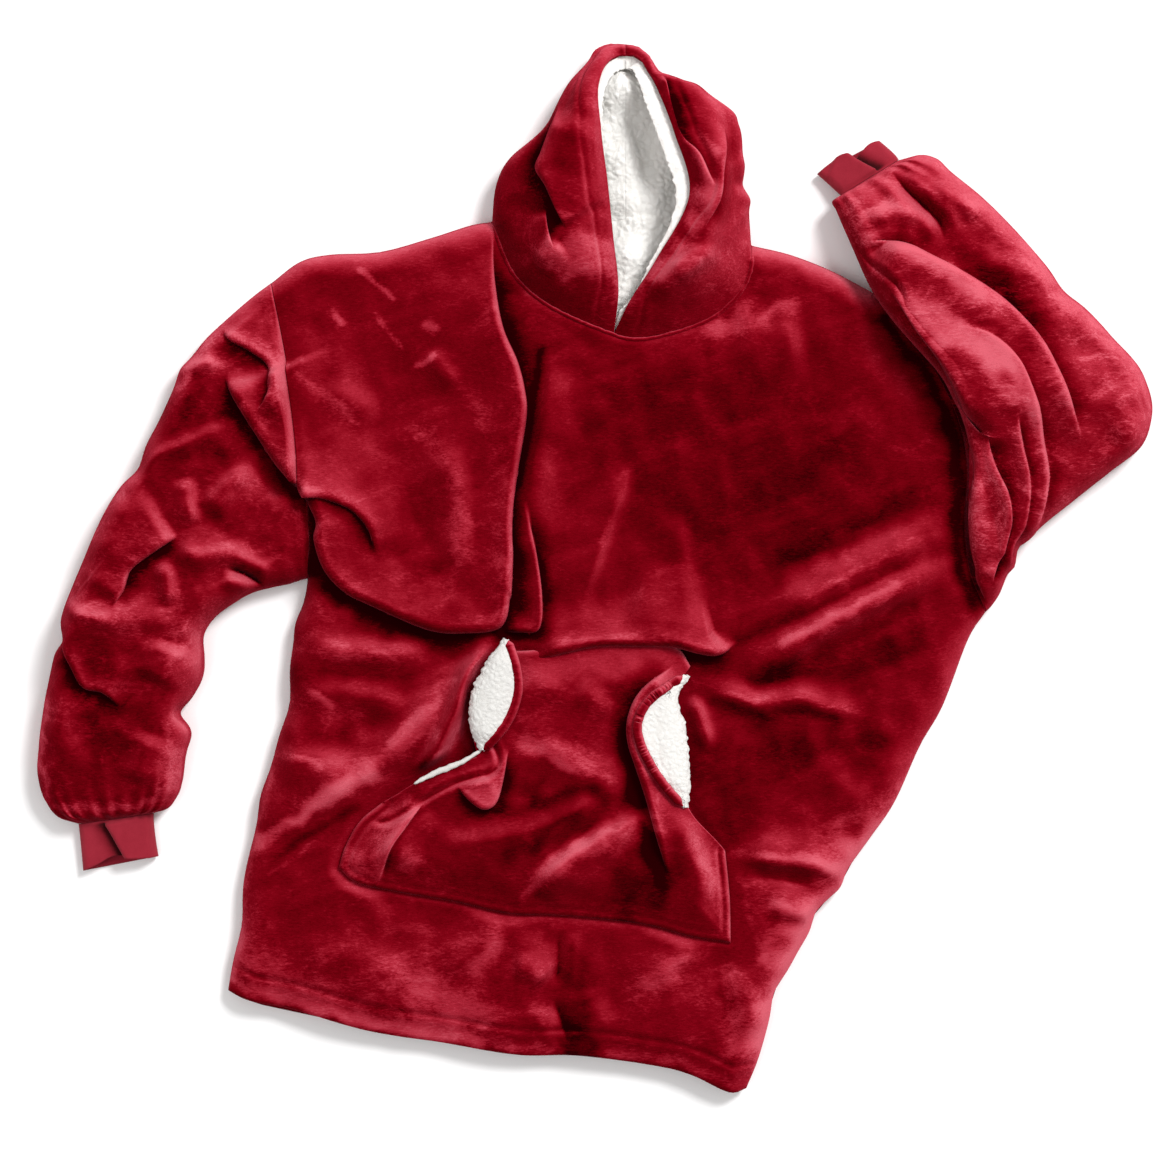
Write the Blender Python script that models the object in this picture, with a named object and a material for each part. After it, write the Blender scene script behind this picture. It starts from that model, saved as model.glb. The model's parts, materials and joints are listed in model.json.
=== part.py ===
"""An oversized blanket hoodie in plush with a sherpa-lined hood, laid flat with its front up.

X runs to the viewer's right, Y from the hem to the hood, Z up from the surface. All tables are in
millimetres. Right and left in the names are the wearer's, so the right sleeve has negative X.
"""

import bpy
import numpy as np

# Sizes of the cloth
WALL = 5.0
LINING_WALL = 4.0
CUFF_WALL = 2.0
SEAM_GAP = 0.36
LINING_GAP = 0.85
HOOD_SEAM_GAP = 0.6
SEAM_HEIGHT = 13.0
SEAM_HALF_GAP = 0.15
FRONT_TOP = 36.0
FRONT_EDGE_RADIUS = 28.0
BACK_EDGE_RADIUS = 22.0
HEM_DROP = 9.0
HEM_ROLL = 45.0
FLAT_BY_POCKET = 35.0
RISE_BY_POCKET = 36.0

# Outline of the body, as points (x, y)
SIDE_RIGHT = [
    (-402, -465), (-392, -400), (-384, -339), (-368, -274), (-351, -205),
    (-339, -148), (-332, -95), (-319, -42), (-314, -12),
]
ARMHOLE_RIGHT = [(-314, -12), (-314, 35), (-317, 90), (-323, 145), (-331, 195), (-341, 250), (-354, 313)]
SIDE_LEFT = [
    (168, -573), (182, -538), (201, -474), (222, -428), (246, -388), (270, -345),
    (303, -299), (331, -258), (359, -196), (384, -152), (412, -79), (431, -49),
]
ARMHOLE_LEFT = [(431, -49), (412, -3), (406, 52), (409, 107), (401, 157), (376, 212), (343, 256), (318, 296)]
HEM = [
    (-402, -465), (-376, -476), (-327, -486), (-246, -509), (-164, -522), (-83, -535),
    (-15, -536), (67, -547), (107, -557), (148, -576), (168, -573),
]
SHOULDER_RIGHT = [(-354, 313), (-323, 336), (-290, 344), (-235, 347), (-180, 362), (-136, 376), (-112, 380)]
SHOULDER_LEFT = [(174, 354), (216, 344), (260, 327), (302, 305), (318, 296)]
NECK_FRONT = [
    (-112, 380), (-99, 345), (-82, 314), (-48, 286), (7, 261), (51, 250),
    (117, 267), (155, 294), (172, 325), (174, 354),
]
NECK_BACK = [(-112, 380), (174, 354)]

# Where the corners of the body lie along its top edge and its side edges
NECK_STARTS, NECK_ENDS = 0.36, 0.79
ARMPIT = 0.6
FRONT_SPLIT = 0.48
BACK_SPLIT = 0.514
HOOD_CENTRE_X = 35.0

# Stations of the grids, as shares of each stretch, closer together at the closed edges
SIDE_STATIONS = [0, 0.015, 0.05, 0.13, 0.23, 0.34, 0.45, 0.56, 0.66, 0.76, 0.86, 0.95]
ARMHOLE_STATIONS = [0, 0.015, 0.06, 0.15, 0.3, 0.46, 0.62, 0.78, 0.9, 0.955, 0.988, 1]
SHOULDER_STATIONS = [0, 0.014, 0.05, 0.12, 0.25, 0.4, 0.55, 0.7, 0.85]
FRONT_NECK_STATIONS = [0, 0.09, 0.17, 0.26, 0.34, 0.42, 0.48, 0.56, 0.65, 0.74, 0.84, 0.93, 1]
BACK_SIDE_STATIONS = [0, 0.03, 0.12, 0.35, 0.6, 0.8, 0.95]
BACK_ARMHOLE_STATIONS = [0, 0.018, 0.07, 0.5, 0.93, 0.982, 1]
BACK_SHOULDER_STATIONS = [0, 0.02, 0.08, 0.4, 0.75]
BACK_NECK_STATIONS = [0, 0.03, 0.09, 0.3, 0.514, 0.7, 0.91, 0.97, 1]

# Laps: the high side is left of the line's direction
# piece, height, width of the rise, reach of the high side, line
LAPS = [
    ("body", 20, 16, 120, [
        (-306, 36), (-297, -3), (-248, -42), (-180, -68), (-118, -72), (-104, -40),
        (-97, 20), (-88, 80), (-82, 150), (-84, 206), (-104, 300), (-112, 362),
    ]),
    ("body", 7, 14, 60, [(-246, 0), (-251, 41), (-272, 72), (-301, 82), (-330, 80)]),
    ("sleeve_left", 8, 16, 70, [(535, 118), (512, 202), (469, 270), (409, 318), (350, 350), (296, 352)]),
    ("sleeve_left", 8, 12, 40, [(491, 40), (497, 81), (496, 123), (482, 166), (450, 212)]),
    ("hood", 9, 12, 50, [(-38, 345), (-46, 395), (-53, 440), (-52, 480)]),
]

# Folds: a ridge, or a trough where the height is negative
# piece, height, half width, line
FOLDS = [
    ("body", 16, 20, [(-88, -84), (-50, -58), (7, -46), (62, -56), (128, -70)]),
    ("body", 7, 16, [(38, 110), (16, 57), (-8, 0), (-20, -30)]),
    ("body", 6, 14, [(90, 90), (98, 38), (108, -30)]),
    ("body", 8, 18, [(190, -40), (225, -28), (261, -13), (300, 8), (345, 40)]),
    ("body", 9, 18, [(190, -106), (237, -74), (298, -41), (350, -20)]),
    ("body", 11, 18, [(118, -118), (161, -142), (202, -152), (250, -156), (310, -150)]),
    ("body", 13, 16, [(160, -312), (195, -320), (240, -326), (290, -322)]),
    ("body", -8, 16, [(180, -345), (225, -360), (262, -358)]),
    ("body", 7, 18, [(150, -430), (175, -470), (185, -510)]),
    ("body", 8, 20, [(-300, -330), (-290, -260), (-262, -200), (-220, -150)]),
    ("body", 7, 18, [(-345, -150), (-290, -140), (-235, -115), (-190, -105)]),
    ("body", -7, 16, [(-40, -400), (-30, -450), (-38, -500), (-34, -530)]),
    ("body", 6, 16, [(-130, -430), (-110, -470), (-100, -505)]),
    ("body", 6, 18, [(60, -440), (78, -475), (80, -520)]),
    ("body", 6, 20, [(-300, -400), (-250, -430), (-190, -440)]),
    ("body", 6, 24, [(-180, 160), (-150, 90), (-145, 20), (-160, -30)]),
    ("body", 5, 22, [(150, 230), (200, 190), (260, 170)]),
    ("sleeve_right", -10, 14, [(-409, 250), (-385, 225), (-362, 200), (-350, 175)]),
    ("sleeve_right", -12, 14, [(-404, 206), (-385, 170), (-362, 130), (-330, 90)]),
    ("sleeve_right", -10, 14, [(-452, 35), (-470, 18), (-490, 4), (-515, -12)]),
    ("sleeve_right", -8, 12, [(-340, 5), (-369, 18), (-400, 22)]),
    ("sleeve_right", -12, 14, [(-588, -80), (-575, -110), (-555, -138), (-515, -162)]),
    ("sleeve_right", 8, 18, [(-440, 190), (-415, 140), (-400, 80), (-395, 30)]),
    ("sleeve_right", 6, 18, [(-500, -60), (-470, -95), (-445, -100)]),
    ("sleeve_left", 7, 9, [(408, 150), (416, 90), (424, 30), (433, -36)]),
    ("sleeve_left", 7, 9, [(432, 160), (440, 100), (440, 40), (438, -24)]),
    ("sleeve_left", 7, 10, [(458, 150), (466, 95), (460, 40), (446, -14)]),
    ("sleeve_left", -6, 14, [(326, 425), (345, 400), (378, 372)]),
    ("hood", -8, 12, [(-53, 402), (-48, 372), (-38, 345)]),
    ("hood", 6, 14, [(117, 520), (146, 484), (140, 440), (134, 400), (120, 362)]),
]

# Right sleeve after its armhole
# outer x, outer y, inner x, inner y, height
SLEEVE_RIGHT_RINGS = [
    (-372, 300, -322, -14, 42),
    (-400, 276, -334, -18, 48),
    (-430, 247, -352, -22, 50),
    (-457, 205, -371, -28, 52),
    (-480, 157, -391, -38, 52),
    (-508, 109, -413, -52, 54),
    (-538, 60, -428, -72, 54),
    (-565, -1, -432, -98, 52),
    (-587, -60, -434, -126, 52),
    (-595, -105, -444, -152, 50),
    (-604, -150, -446, -184, 50),
    (-610, -196, -449, -212, 46),
    (-611, -230, -452, -235, 44),
    (-602, -258, -458, -252, 38),
    (-586, -276, -470, -266, 30),
    (-567, -282, -484, -270, 19),
]

# Left sleeve after its armhole, fanned round the elbow
# inner x, inner y, outer x, outer y, bow, underside at inner, underside at outer, height
SLEEVE_LEFT_RINGS = [
    (334, 281, 438, -42, 30, 0, 0, 38),
    (354, 254, 446, -30, 24, 0, 0, 42),
    (384, 207, 462, 6, 15, 0, 0, 50),
    (402, 172, 488, 40, 8, 0, 0, 54),
    (409, 157, 524, 70, 3, 0, 0, 58),
    (413, 149, 568, 105, 0, 0, 0, 60),
    (413, 152, 603, 134, 0, 3, 0, 60),
    (408, 160, 614, 168, 0, 14, 0, 58),
    (397, 176, 606, 208, 0, 32, 0, 54),
    (377, 211, 568, 256, 0, 42, 0, 48),
    (346, 246, 540, 287, 0, 43, 0, 46),
    (324, 272, 500, 330, 0, 42, 0, 46),
    (303, 304, 458, 377, 0, 36, 0, 46),
    (283, 350, 412, 420, 0, 26, 0, 46),
    (266, 391, 372, 446, 0, 18, 2, 40),
    (262, 402, 355, 452, 0, 14, 3, 32),
    (272, 408, 336, 448, 0, 12, 5, 19),
]

# Cuffs after their seams
# first x, first y, second x, second y, underside at first, underside at second, height
CUFF_RIGHT_RINGS = [
    (-566, -292, -484, -280, 0, 0, 16),
    (-564, -312, -482, -299, 0, 0, 15),
    (-562, -334, -479, -318, 0, 0, 15),
]
CUFF_LEFT_RINGS = [
    (265, 415, 332, 454, 8, 4, 17),
    (256, 424, 324, 462, 5, 2, 15),
    (246, 433, 315, 470, 3, 0, 14),
]

# Hood sections from the neck seam to the crown
# share of the way, then (x, y, z) of the rim, crest, flank, side and floor line, then y at the centre back
HOOD_RIGHT_SECTIONS = [
    (0.14, (27, 300, 52), (-8, 318, 74), (-70, 345, 66), (-110, 394, 24), (-94, 398, 0), 394),
    (0.32, (21, 362, 62), (-12, 372, 84), (-66, 390, 68), (-105, 424, 27), (-86, 426, 0), 428),
    (0.50, (15, 420, 70), (-16, 425, 86), (-60, 432, 66), (-90, 450, 28), (-70, 452, 0), 460),
    (0.68, (8, 476, 72), (-14, 480, 82), (-38, 483, 62), (-51, 484, 28), (-34, 484, 0), 495),
    (0.84, (6, 528, 64), (-4, 532, 66), (-16, 534, 52), (-24, 532, 24), (-10, 530, 0), 528),
    (0.93, (16, 552, 48), (9, 558, 48), (1, 559, 38), (-4, 556, 20), (8, 553, 0), 542),
    (0.97, (25, 560, 37), (21, 568, 36), (16, 571, 28), (12, 571, 17), (20, 566, 0), 550),
    (1.00, (35, 563, 30), (35, 570, 29), (35, 575, 23), (35, 577, 14), (35, 570, 0), 555),
]
HOOD_LEFT_SECTIONS = [
    (0.14, (38, 288, 54), (85, 312, 76), (138, 336, 60), (171, 378, 22), (156, 382, 0), 394),
    (0.32, (68, 335, 64), (110, 354, 82), (146, 374, 60), (168, 402, 26), (150, 404, 0), 428),
    (0.50, (104, 405, 72), (134, 414, 82), (152, 424, 58), (161, 440, 28), (142, 442, 0), 460),
    (0.68, (88, 472, 70), (122, 476, 78), (146, 480, 56), (157, 484, 28), (138, 486, 0), 495),
    (0.84, (70, 520, 62), (100, 521, 66), (126, 520, 50), (141, 514, 26), (124, 511, 0), 528),
    (0.93, (60, 548, 48), (75, 548, 50), (92, 545, 40), (106, 536, 22), (92, 531, 0), 542),
    (0.97, (50, 559, 38), (56, 562, 38), (64, 561, 30), (72, 555, 18), (62, 550, 0), 550),
    (1.00, (35, 563, 30), (35, 570, 29), (35, 575, 23), (35, 577, 14), (35, 570, 0), 555),
]
HOOD_SECTION_SHARES = [0, 0.15, 0.4, 0.6, 0.69, 1]
HOOD_CORNER_SHARE = 0.6
HOOD_ROW_STATIONS = [0, 0.06, 0.14, 0.25, 0.37, 0.5, 0.61, 0.72, 0.84, 0.93, 0.97, 1]

# Outline of the pocket
POCKET_BOTTOM = [
    (-279, -329), (-257, -346), (-205, -357), (-152, -366), (-92, -379), (-37, -381),
    (51, -390), (106, -404), (150, -411),
]
POCKET_TOP = [(-103, -92), (-37, -99), (7, -94), (62, -99), (106, -112)]
POCKET_SIDE_RIGHT = [(-279, -329), (-272, -306), (-256, -278), (-231, -257)]
POCKET_MOUTH_RIGHT_LOW = [(-231, -257), (-196, -236), (-160, -217), (-127, -207)]
POCKET_MOUTH_RIGHT_HIGH = [(-127, -207), (-133, -170), (-128, -128), (-103, -92)]
POCKET_SIDE_LEFT = [(150, -411), (149, -362), (144, -310)]
POCKET_MOUTH_LEFT = [(144, -310), (104, -258), (97, -190), (86, -142), (106, -112)]
POCKET_SIDE_ENDS = 0.22
POCKET_MOUTH_BENDS = 0.55
POCKET_ROWS = [0, 0.05, 0.12, 0.22, 0.33, 0.44, 0.55, 0.62, 0.7, 0.78, 0.86, 0.93, 1]
POCKET_COLUMNS = [0, 0.03, 0.1, 0.2, 0.32, 0.44, 0.56, 0.68, 0.8, 0.9, 0.97, 1]
POCKET_PUFF = 13.0
POCKET_PUFF_REACH = 62.0
# height, half width, line
POCKET_FOLDS = [
    (13, 20, [(60, -278), (12, -294), (-34, -318), (-80, -358)]),
    (-8, 16, [(40, -215), (20, -250), (-20, -262), (-70, -262)]),
    (8, 18, [(-132, -222), (-112, -245), (-98, -272)]),
    (8, 20, [(92, -270), (110, -310), (122, -360)]),
    (7, 18, [(-200, -262), (-215, -300), (-205, -340)]),
    (6, 20, [(-30, -130), (-20, -170), (10, -200)]),
]

# Turned-back mouth edges of the pocket: reach over the pocket at each share of the mouth
ROLL_RIGHT_REACH = [8, 34, 48, 44, 28, 10]
ROLL_LEFT_REACH = [6, 20, 38, 44, 40, 24, 8]
ROLL_LEFT_STARTS = 0.44
# Section of the turned-back edge
# share of the section, outward from the mouth in mm, share of the reach back, height over the pocket
ROLL_SECTION = [
    (0, 0.85, 0, -2.5),
    (0.15, 5, 0, -1.5),
    (0.32, 8, 0, 4),
    (0.5, 4, 0.08, 10),
    (0.75, 0, 0.5, 11),
    (1, 0, 1, 9),
]
ROLL_STATIONS = [0, 0.16, 0.32, 0.5, 0.75, 1]

# Colour, roughness of each cloth
MATERIALS = {
    "plush": ((0.25, 0.005, 0.014, 1), 0.85),
    "sherpa": ((0.86, 0.83, 0.77, 1), 0.95),
    "cuff_jersey": ((0.30, 0.022, 0.045, 1), 0.8),
}

MM = 0.001


def smooth_line(points, per_span=16):
    """A dense polyline on the Catmull-Rom curve through the points."""
    given = np.asarray(points, float)
    padded = np.vstack([2 * given[0] - given[1], given, 2 * given[-1] - given[-2]])
    t = np.linspace(0, 1, per_span, endpoint=False)[:, None]
    spans = []
    for a, b, c, d in zip(padded, padded[1:], padded[2:], padded[3:]):
        cubic = (-a + 3 * b - 3 * c + d) * t**3
        square = (2 * a - 5 * b + 4 * c - d) * t**2
        spans.append(0.5 * (2 * b + (c - a) * t + square + cubic))
    return np.vstack(spans + [given[-1:]])


def along(points, shares):
    """Points at these shares of the length of the curve."""
    line = smooth_line(points)
    lengths = np.concatenate([[0], np.cumsum(np.linalg.norm(np.diff(line, axis=0), axis=1))])
    at = np.asarray(shares, float) * lengths[-1]
    return np.stack([np.interp(at, lengths, line[:, k]) for k in range(line.shape[1])], axis=1)


def edge(curves, corners, shares):
    """Points along an edge made of several curves, whose ends lie at the corners' shares."""
    shares = np.asarray(shares, float)
    found = np.zeros((len(shares), 2))
    for curve, start, stop in zip(curves, corners, corners[1:]):
        chosen = (shares >= start - 1e-9) & (shares <= stop + 1e-9)
        found[chosen] = along(curve, (shares[chosen] - start) / (stop - start))
    return found


def through(rows, at, wanted):
    """Smooth interpolation of rows of values, known at the parameters in at."""
    rows, at, wanted = (np.asarray(x, float) for x in (rows, at, wanted))
    slopes = np.gradient(rows, at, axis=0)
    i = np.clip(np.searchsorted(at, wanted, side="right") - 1, 0, len(at) - 2)
    width = (at[i + 1] - at[i]).reshape((-1,) + (1,) * (rows.ndim - 1))
    t = (wanted - at[i]).reshape(width.shape) / width
    start = (2 * t**3 - 3 * t**2 + 1) * rows[i] + (t**3 - 2 * t**2 + t) * width * slopes[i]
    stop = (3 * t**2 - 2 * t**3) * rows[i + 1] + (t**3 - t**2) * width * slopes[i + 1]
    return start + stop


def smoothstep(x):
    x = np.clip(x, 0, 1)
    return x * x * (3 - 2 * x)


def to_line(plan, line):
    """Each point's distance from a polyline, signed left, share of its length, and direction away."""
    steps = np.diff(line, axis=0)
    lengths = np.linalg.norm(steps, axis=1)
    starts = np.concatenate([[0], np.cumsum(lengths)])
    nearest = np.full(plan.shape[:-1], np.inf)
    side = np.ones(plan.shape[:-1])
    share = np.zeros(plan.shape[:-1])
    away = np.zeros(plan.shape)
    for origin, step, length, start in zip(line, steps, lengths, starts):
        offset = plan - origin
        t = np.clip(offset @ step / length**2, 0, 1)
        distance = np.linalg.norm(offset - t[..., None] * step, axis=-1)
        closer = distance < nearest - 1e-9
        left = np.array([-step[1], step[0]]) / length
        straight = (offset - t[..., None] * step) / np.maximum(distance, 1e-9)[..., None]
        nearest[closer] = distance[closer]
        side[closer] = np.where(offset @ left >= 0, 1, -1)[closer]
        share[closer] = (start + t * length)[closer] / starts[-1]
        away[closer] = np.where(distance[..., None] > 0.01, straight, left)[closer]
    return nearest, nearest * side, share, away


def ends_fade(share):
    return smoothstep(share / 0.22) * smoothstep((1 - share) / 0.22)


def fold_height(plan, piece):
    """Height that the laps and folds of this piece add at each plan point."""
    total = np.zeros(plan.shape[:-1])
    for of, height, rise, reach, points in LAPS:
        if of == piece:
            _, signed, share, _ = to_line(plan, smooth_line(points))
            high = smoothstep(signed / rise) * np.exp(-np.maximum(signed - rise, 0) / reach)
            total += height * high * ends_fade(share)
    for of, height, half_width, points in FOLDS:
        if of == piece:
            distance, _, share, _ = to_line(plan, smooth_line(points))
            total += height * np.exp(-((distance / half_width) ** 2)) * ends_fade(share)
    return total


def inside(plan, outline):
    """True where a plan point lies inside the closed outline."""
    found = np.zeros(plan.shape[:-1], bool)
    x, y = plan[..., 0], plan[..., 1]
    for (ax, ay), (bx, by) in zip(outline, np.roll(outline, -1, axis=0)):
        if ay == by:
            continue
        crosses = (ay > y) != (by > y)
        found ^= crosses & (x < (bx - ax) * (y - ay) / (by - ay) + ax)
    return found


def closed_edge(plan):
    """Distance from the nearest side or shoulder seam, and the direction in from it."""
    best = np.full(plan.shape[:-1], np.inf)
    inward = np.zeros(plan.shape)
    seams = [SIDE_RIGHT[::-1], SIDE_LEFT, SHOULDER_RIGHT[::-1], SHOULDER_LEFT[::-1]]
    for seam in seams:
        distance, _, _, away = to_line(plan, smooth_line(seam))
        closer = distance < best
        best[closer] = distance[closer]
        inward[closer] = away[closer]
    return best, inward


def along_open_corners(plan, inward, armhole_rows, neck_columns):
    """Points the closed corners of the armholes and the neck along those open edges."""
    tip, armpit = -1, -armhole_rows
    for row, column, next_row, next_column in (
        (tip, 0, -2, 0),
        (tip, -1, -2, -1),
        (armpit, 0, armpit + 1, 0),
        (armpit, -1, armpit + 1, -1),
        (-1, neck_columns[0], -1, neck_columns[0] + 1),
        (-1, neck_columns[1], -1, neck_columns[1] - 1),
    ):
        step = plan[next_row, next_column] - plan[row, column]
        inward[row, column] = step / np.linalg.norm(step)


def rounding(distance, radius):
    """Cosine and sine of the angle round a folded edge of this radius."""
    cosine = np.clip(1 - distance / radius, 0, 1)
    return cosine, np.sqrt(1 - cosine**2)


def patch(bottom, top, right, left, u, v):
    """Coons patch: a grid of plan points that fills the four edges."""
    u = np.asarray(u)[None, :, None]
    v = np.asarray(v)[:, None, None]
    ruled = (1 - v) * bottom[None] + v * top[None] + (1 - u) * right[:, None] + u * left[:, None]
    low = (1 - u) * bottom[0] + u * bottom[-1]
    high = (1 - u) * top[0] + u * top[-1]
    return ruled - (1 - v) * low - v * high


def body_stations(side, armhole, shoulder, neck):
    """Stations up the body, across it and along its neck."""
    rows = [ARMPIT * s for s in side] + [ARMPIT + (1 - ARMPIT) * s for s in armhole]
    across = [NECK_STARTS * s for s in shoulder]
    necks = [NECK_STARTS + (NECK_ENDS - NECK_STARTS) * s for s in neck]
    far = [1 - (1 - NECK_ENDS) * s for s in reversed(shoulder)]
    return np.array(rows), np.array(across + necks + far)


def body_plan(u, v, neck, hem_shift):
    hem = along(HEM, u) + hem_shift
    top = edge([SHOULDER_RIGHT, neck, SHOULDER_LEFT], [0, NECK_STARTS, NECK_ENDS, 1], u)
    right = edge([SIDE_RIGHT, ARMHOLE_RIGHT], [0, ARMPIT, 1], v)
    left = edge([SIDE_LEFT, ARMHOLE_LEFT], [0, ARMPIT, 1], v)
    grid = patch(hem, top, right, left, u, v)
    return grid


def pocket_outline():
    return np.vstack([
        smooth_line(POCKET_BOTTOM),
        smooth_line(POCKET_SIDE_LEFT)[1:],
        smooth_line(POCKET_MOUTH_LEFT)[1:],
        smooth_line(POCKET_TOP)[::-1][1:],
        smooth_line(POCKET_MOUTH_RIGHT_HIGH)[::-1][1:],
        smooth_line(POCKET_MOUTH_RIGHT_LOW)[::-1][1:],
        smooth_line(POCKET_SIDE_RIGHT)[::-1][1:-1],
    ])


def front_grids():
    v, u = body_stations(SIDE_STATIONS, ARMHOLE_STATIONS, SHOULDER_STATIONS, FRONT_NECK_STATIONS)
    plan = body_plan(u, v, NECK_FRONT, np.zeros((len(u), 2)))
    distance, inward = closed_edge(plan)
    necks = (len(SHOULDER_STATIONS), len(SHOULDER_STATIONS) + len(FRONT_NECK_STATIONS) - 1)
    along_open_corners(plan, inward, len(ARMHOLE_STATIONS), necks)
    outline = pocket_outline()
    from_pocket = to_line(plan, np.vstack([outline, outline[:1]]))[0]
    free = np.where(inside(plan, outline), 0, smoothstep((from_pocket - FLAT_BY_POCKET) / RISE_BY_POCKET))
    from_hem = to_line(plan, smooth_line(HEM))[0]
    hem = HEM_DROP * (1 - smoothstep(from_hem / HEM_ROLL))
    height = FRONT_TOP - hem + free * fold_height(plan, "body")
    cosine, sine = rounding(distance, FRONT_EDGE_RADIUS)
    z = SEAM_HEIGHT + SEAM_HALF_GAP + (height - SEAM_HEIGHT) * sine
    outer = np.dstack([plan, z])
    inner = outer + WALL * np.dstack([cosine[..., None] * inward, -sine])
    return outer, inner


def back_grids():
    v, u = body_stations(
        BACK_SIDE_STATIONS, BACK_ARMHOLE_STATIONS, BACK_SHOULDER_STATIONS, BACK_NECK_STATIONS
    )
    shift = np.zeros((len(u), 2))
    shift[:, 1] = 12 * np.sin(np.pi * u) - 9 * np.sin(np.pi * np.clip(u / 0.3, 0, 1))
    plan = body_plan(u, v, NECK_BACK, shift)
    distance, inward = closed_edge(plan)
    necks = (len(BACK_SHOULDER_STATIONS), len(BACK_SHOULDER_STATIONS) + len(BACK_NECK_STATIONS) - 1)
    along_open_corners(plan, inward, len(BACK_ARMHOLE_STATIONS), necks)
    cosine, sine = rounding(distance, BACK_EDGE_RADIUS)
    z = (SEAM_HEIGHT - SEAM_HALF_GAP) * (1 - sine)
    outer = np.dstack([plan, z])
    inner = outer + WALL * np.dstack([cosine[..., None] * inward, sine])
    return outer, inner


def joined_ring(over, under, shift):
    """One closed ring from the panels' edges: over from first to second end, then under back again."""
    ring = np.vstack([over, under[::-1][1:-1]]) + shift
    ring[0, 2] = ring[len(over) - 1, 2] = SEAM_HEIGHT
    return ring


def section_ring(first, second, bow, low_first, low_second, height, over, under, piece, radius, wall):
    """Outer and inner ring of a flattened tube between two plan points."""
    first, second = np.array(first, float), np.array(second, float)
    chord = second - first
    length = np.linalg.norm(chord)
    direction = chord / length
    across = np.array([-direction[1], direction[0]])
    outer, inner = [], []
    for shares, sign in ((over, 1), (under[::-1][1:-1], -1)):
        s = np.asarray(shares, float)
        plan = first + s[:, None] * chord + (4 * s * (1 - s) * bow)[:, None] * across
        low = low_first + (low_second - low_first) * s
        reach = min(radius, 0.45 * length)
        middle = low + min(SEAM_HEIGHT, 0.42 * height)
        cosine, sine = rounding(np.minimum(s, 1 - s) * length, reach)
        end = low + height + fold_height(plan, piece) if sign > 0 else low
        z = middle + (end - middle) * sine
        inward = np.where(s[:, None] < 0.5, direction, -direction) * cosine[:, None]
        outer.append(np.column_stack([plan, z]))
        inner.append(np.column_stack([plan + wall * inward, z - sign * wall * sine]))
    return np.vstack(outer), np.vstack(inner)


def sleeve_grids(front, back, column, shift, rings, piece):
    """Rings of a sleeve, the first one made from the armhole edges of the panels."""
    over_rows = slice(len(SIDE_STATIONS), None)
    under_rows = slice(len(BACK_SIDE_STATIONS), None)
    outer, inner = [], []
    for layer, found in ((0, outer), (1, inner)):
        over = front[layer][over_rows, column][::-1]
        under = back[layer][under_rows, column][::-1]
        found.append(joined_ring(over, under, shift))
    over = 1 - np.array(ARMHOLE_STATIONS)[::-1]
    under = 1 - np.array(BACK_ARMHOLE_STATIONS)[::-1]
    for ring in rings:
        made = section_ring(*ring, over, under, piece, FRONT_EDGE_RADIUS, WALL)
        outer.append(made[0])
        inner.append(made[1])
    return np.array(outer), np.array(inner)


def cuff_grids(sleeve, rings, shift):
    """A cuff: its first ring is the sleeve's last one, moved off by the seam gap and thinned."""
    end_outer, end_inner = sleeve[0][-1], sleeve[1][-1]
    thinned = end_outer + (end_inner - end_outer) * CUFF_WALL / WALL
    outer, inner = [end_outer + shift], [thinned + shift]
    over = 1 - np.array(ARMHOLE_STATIONS)[::-1]
    under = 1 - np.array(BACK_ARMHOLE_STATIONS)[::-1]
    for x1, y1, x2, y2, low1, low2, height in rings:
        made = section_ring(
            (x1, y1), (x2, y2), 0, low1, low2, height, over, under, "cuff", height / 2, CUFF_WALL
        )
        outer.append(made[0])
        inner.append(made[1])
    return np.array(outer), np.array(inner)


def grid_normals(grid):
    """Unit normal at each point of a grid, from its neighbours."""
    across = np.gradient(grid, axis=1)
    up = np.gradient(grid, axis=0)
    normal = np.cross(across, up)
    return normal / np.maximum(np.linalg.norm(normal, axis=-1, keepdims=True), 1e-9)


def hood_base(front, back, first, half):
    """Seam loop of a hood half from the rim to the centre back, in one layer, and the way into the hood."""
    neck_start = len(SHOULDER_STATIONS)
    top_front = front[-1, neck_start : neck_start + len(FRONT_NECK_STATIONS)]
    neck_start = len(BACK_SHOULDER_STATIONS)
    top_back = back[-1, neck_start : neck_start + len(BACK_NECK_STATIONS)]
    split_front = FRONT_NECK_STATIONS.index(FRONT_SPLIT)
    split_back = BACK_NECK_STATIONS.index(BACK_SPLIT)
    if half == "right":
        over, under = top_front[: split_front + 1][::-1], top_back[1 : split_back + 1]
    else:
        over, under = top_front[split_front:], top_back[split_back:-1][::-1]
    loop = np.vstack([over, under])
    loop[len(over) - 1] = top_back[0] if half == "right" else top_back[-1]
    loop[len(over) - 1, 2] = SEAM_HEIGHT
    tangent = np.gradient(np.vstack([first[:, :2]]), axis=0)
    tangent /= np.linalg.norm(tangent, axis=1, keepdims=True)
    turn = -1 if half == "right" else 1
    into = turn * np.column_stack([-tangent[:, 1], tangent[:, 0]])
    into[len(over) :] = (0, 1)
    into[len(over) - 1] = (-turn * 0.7, 0.7)
    loop[:, :2] += HOOD_SEAM_GAP * into
    return loop, into


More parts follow.
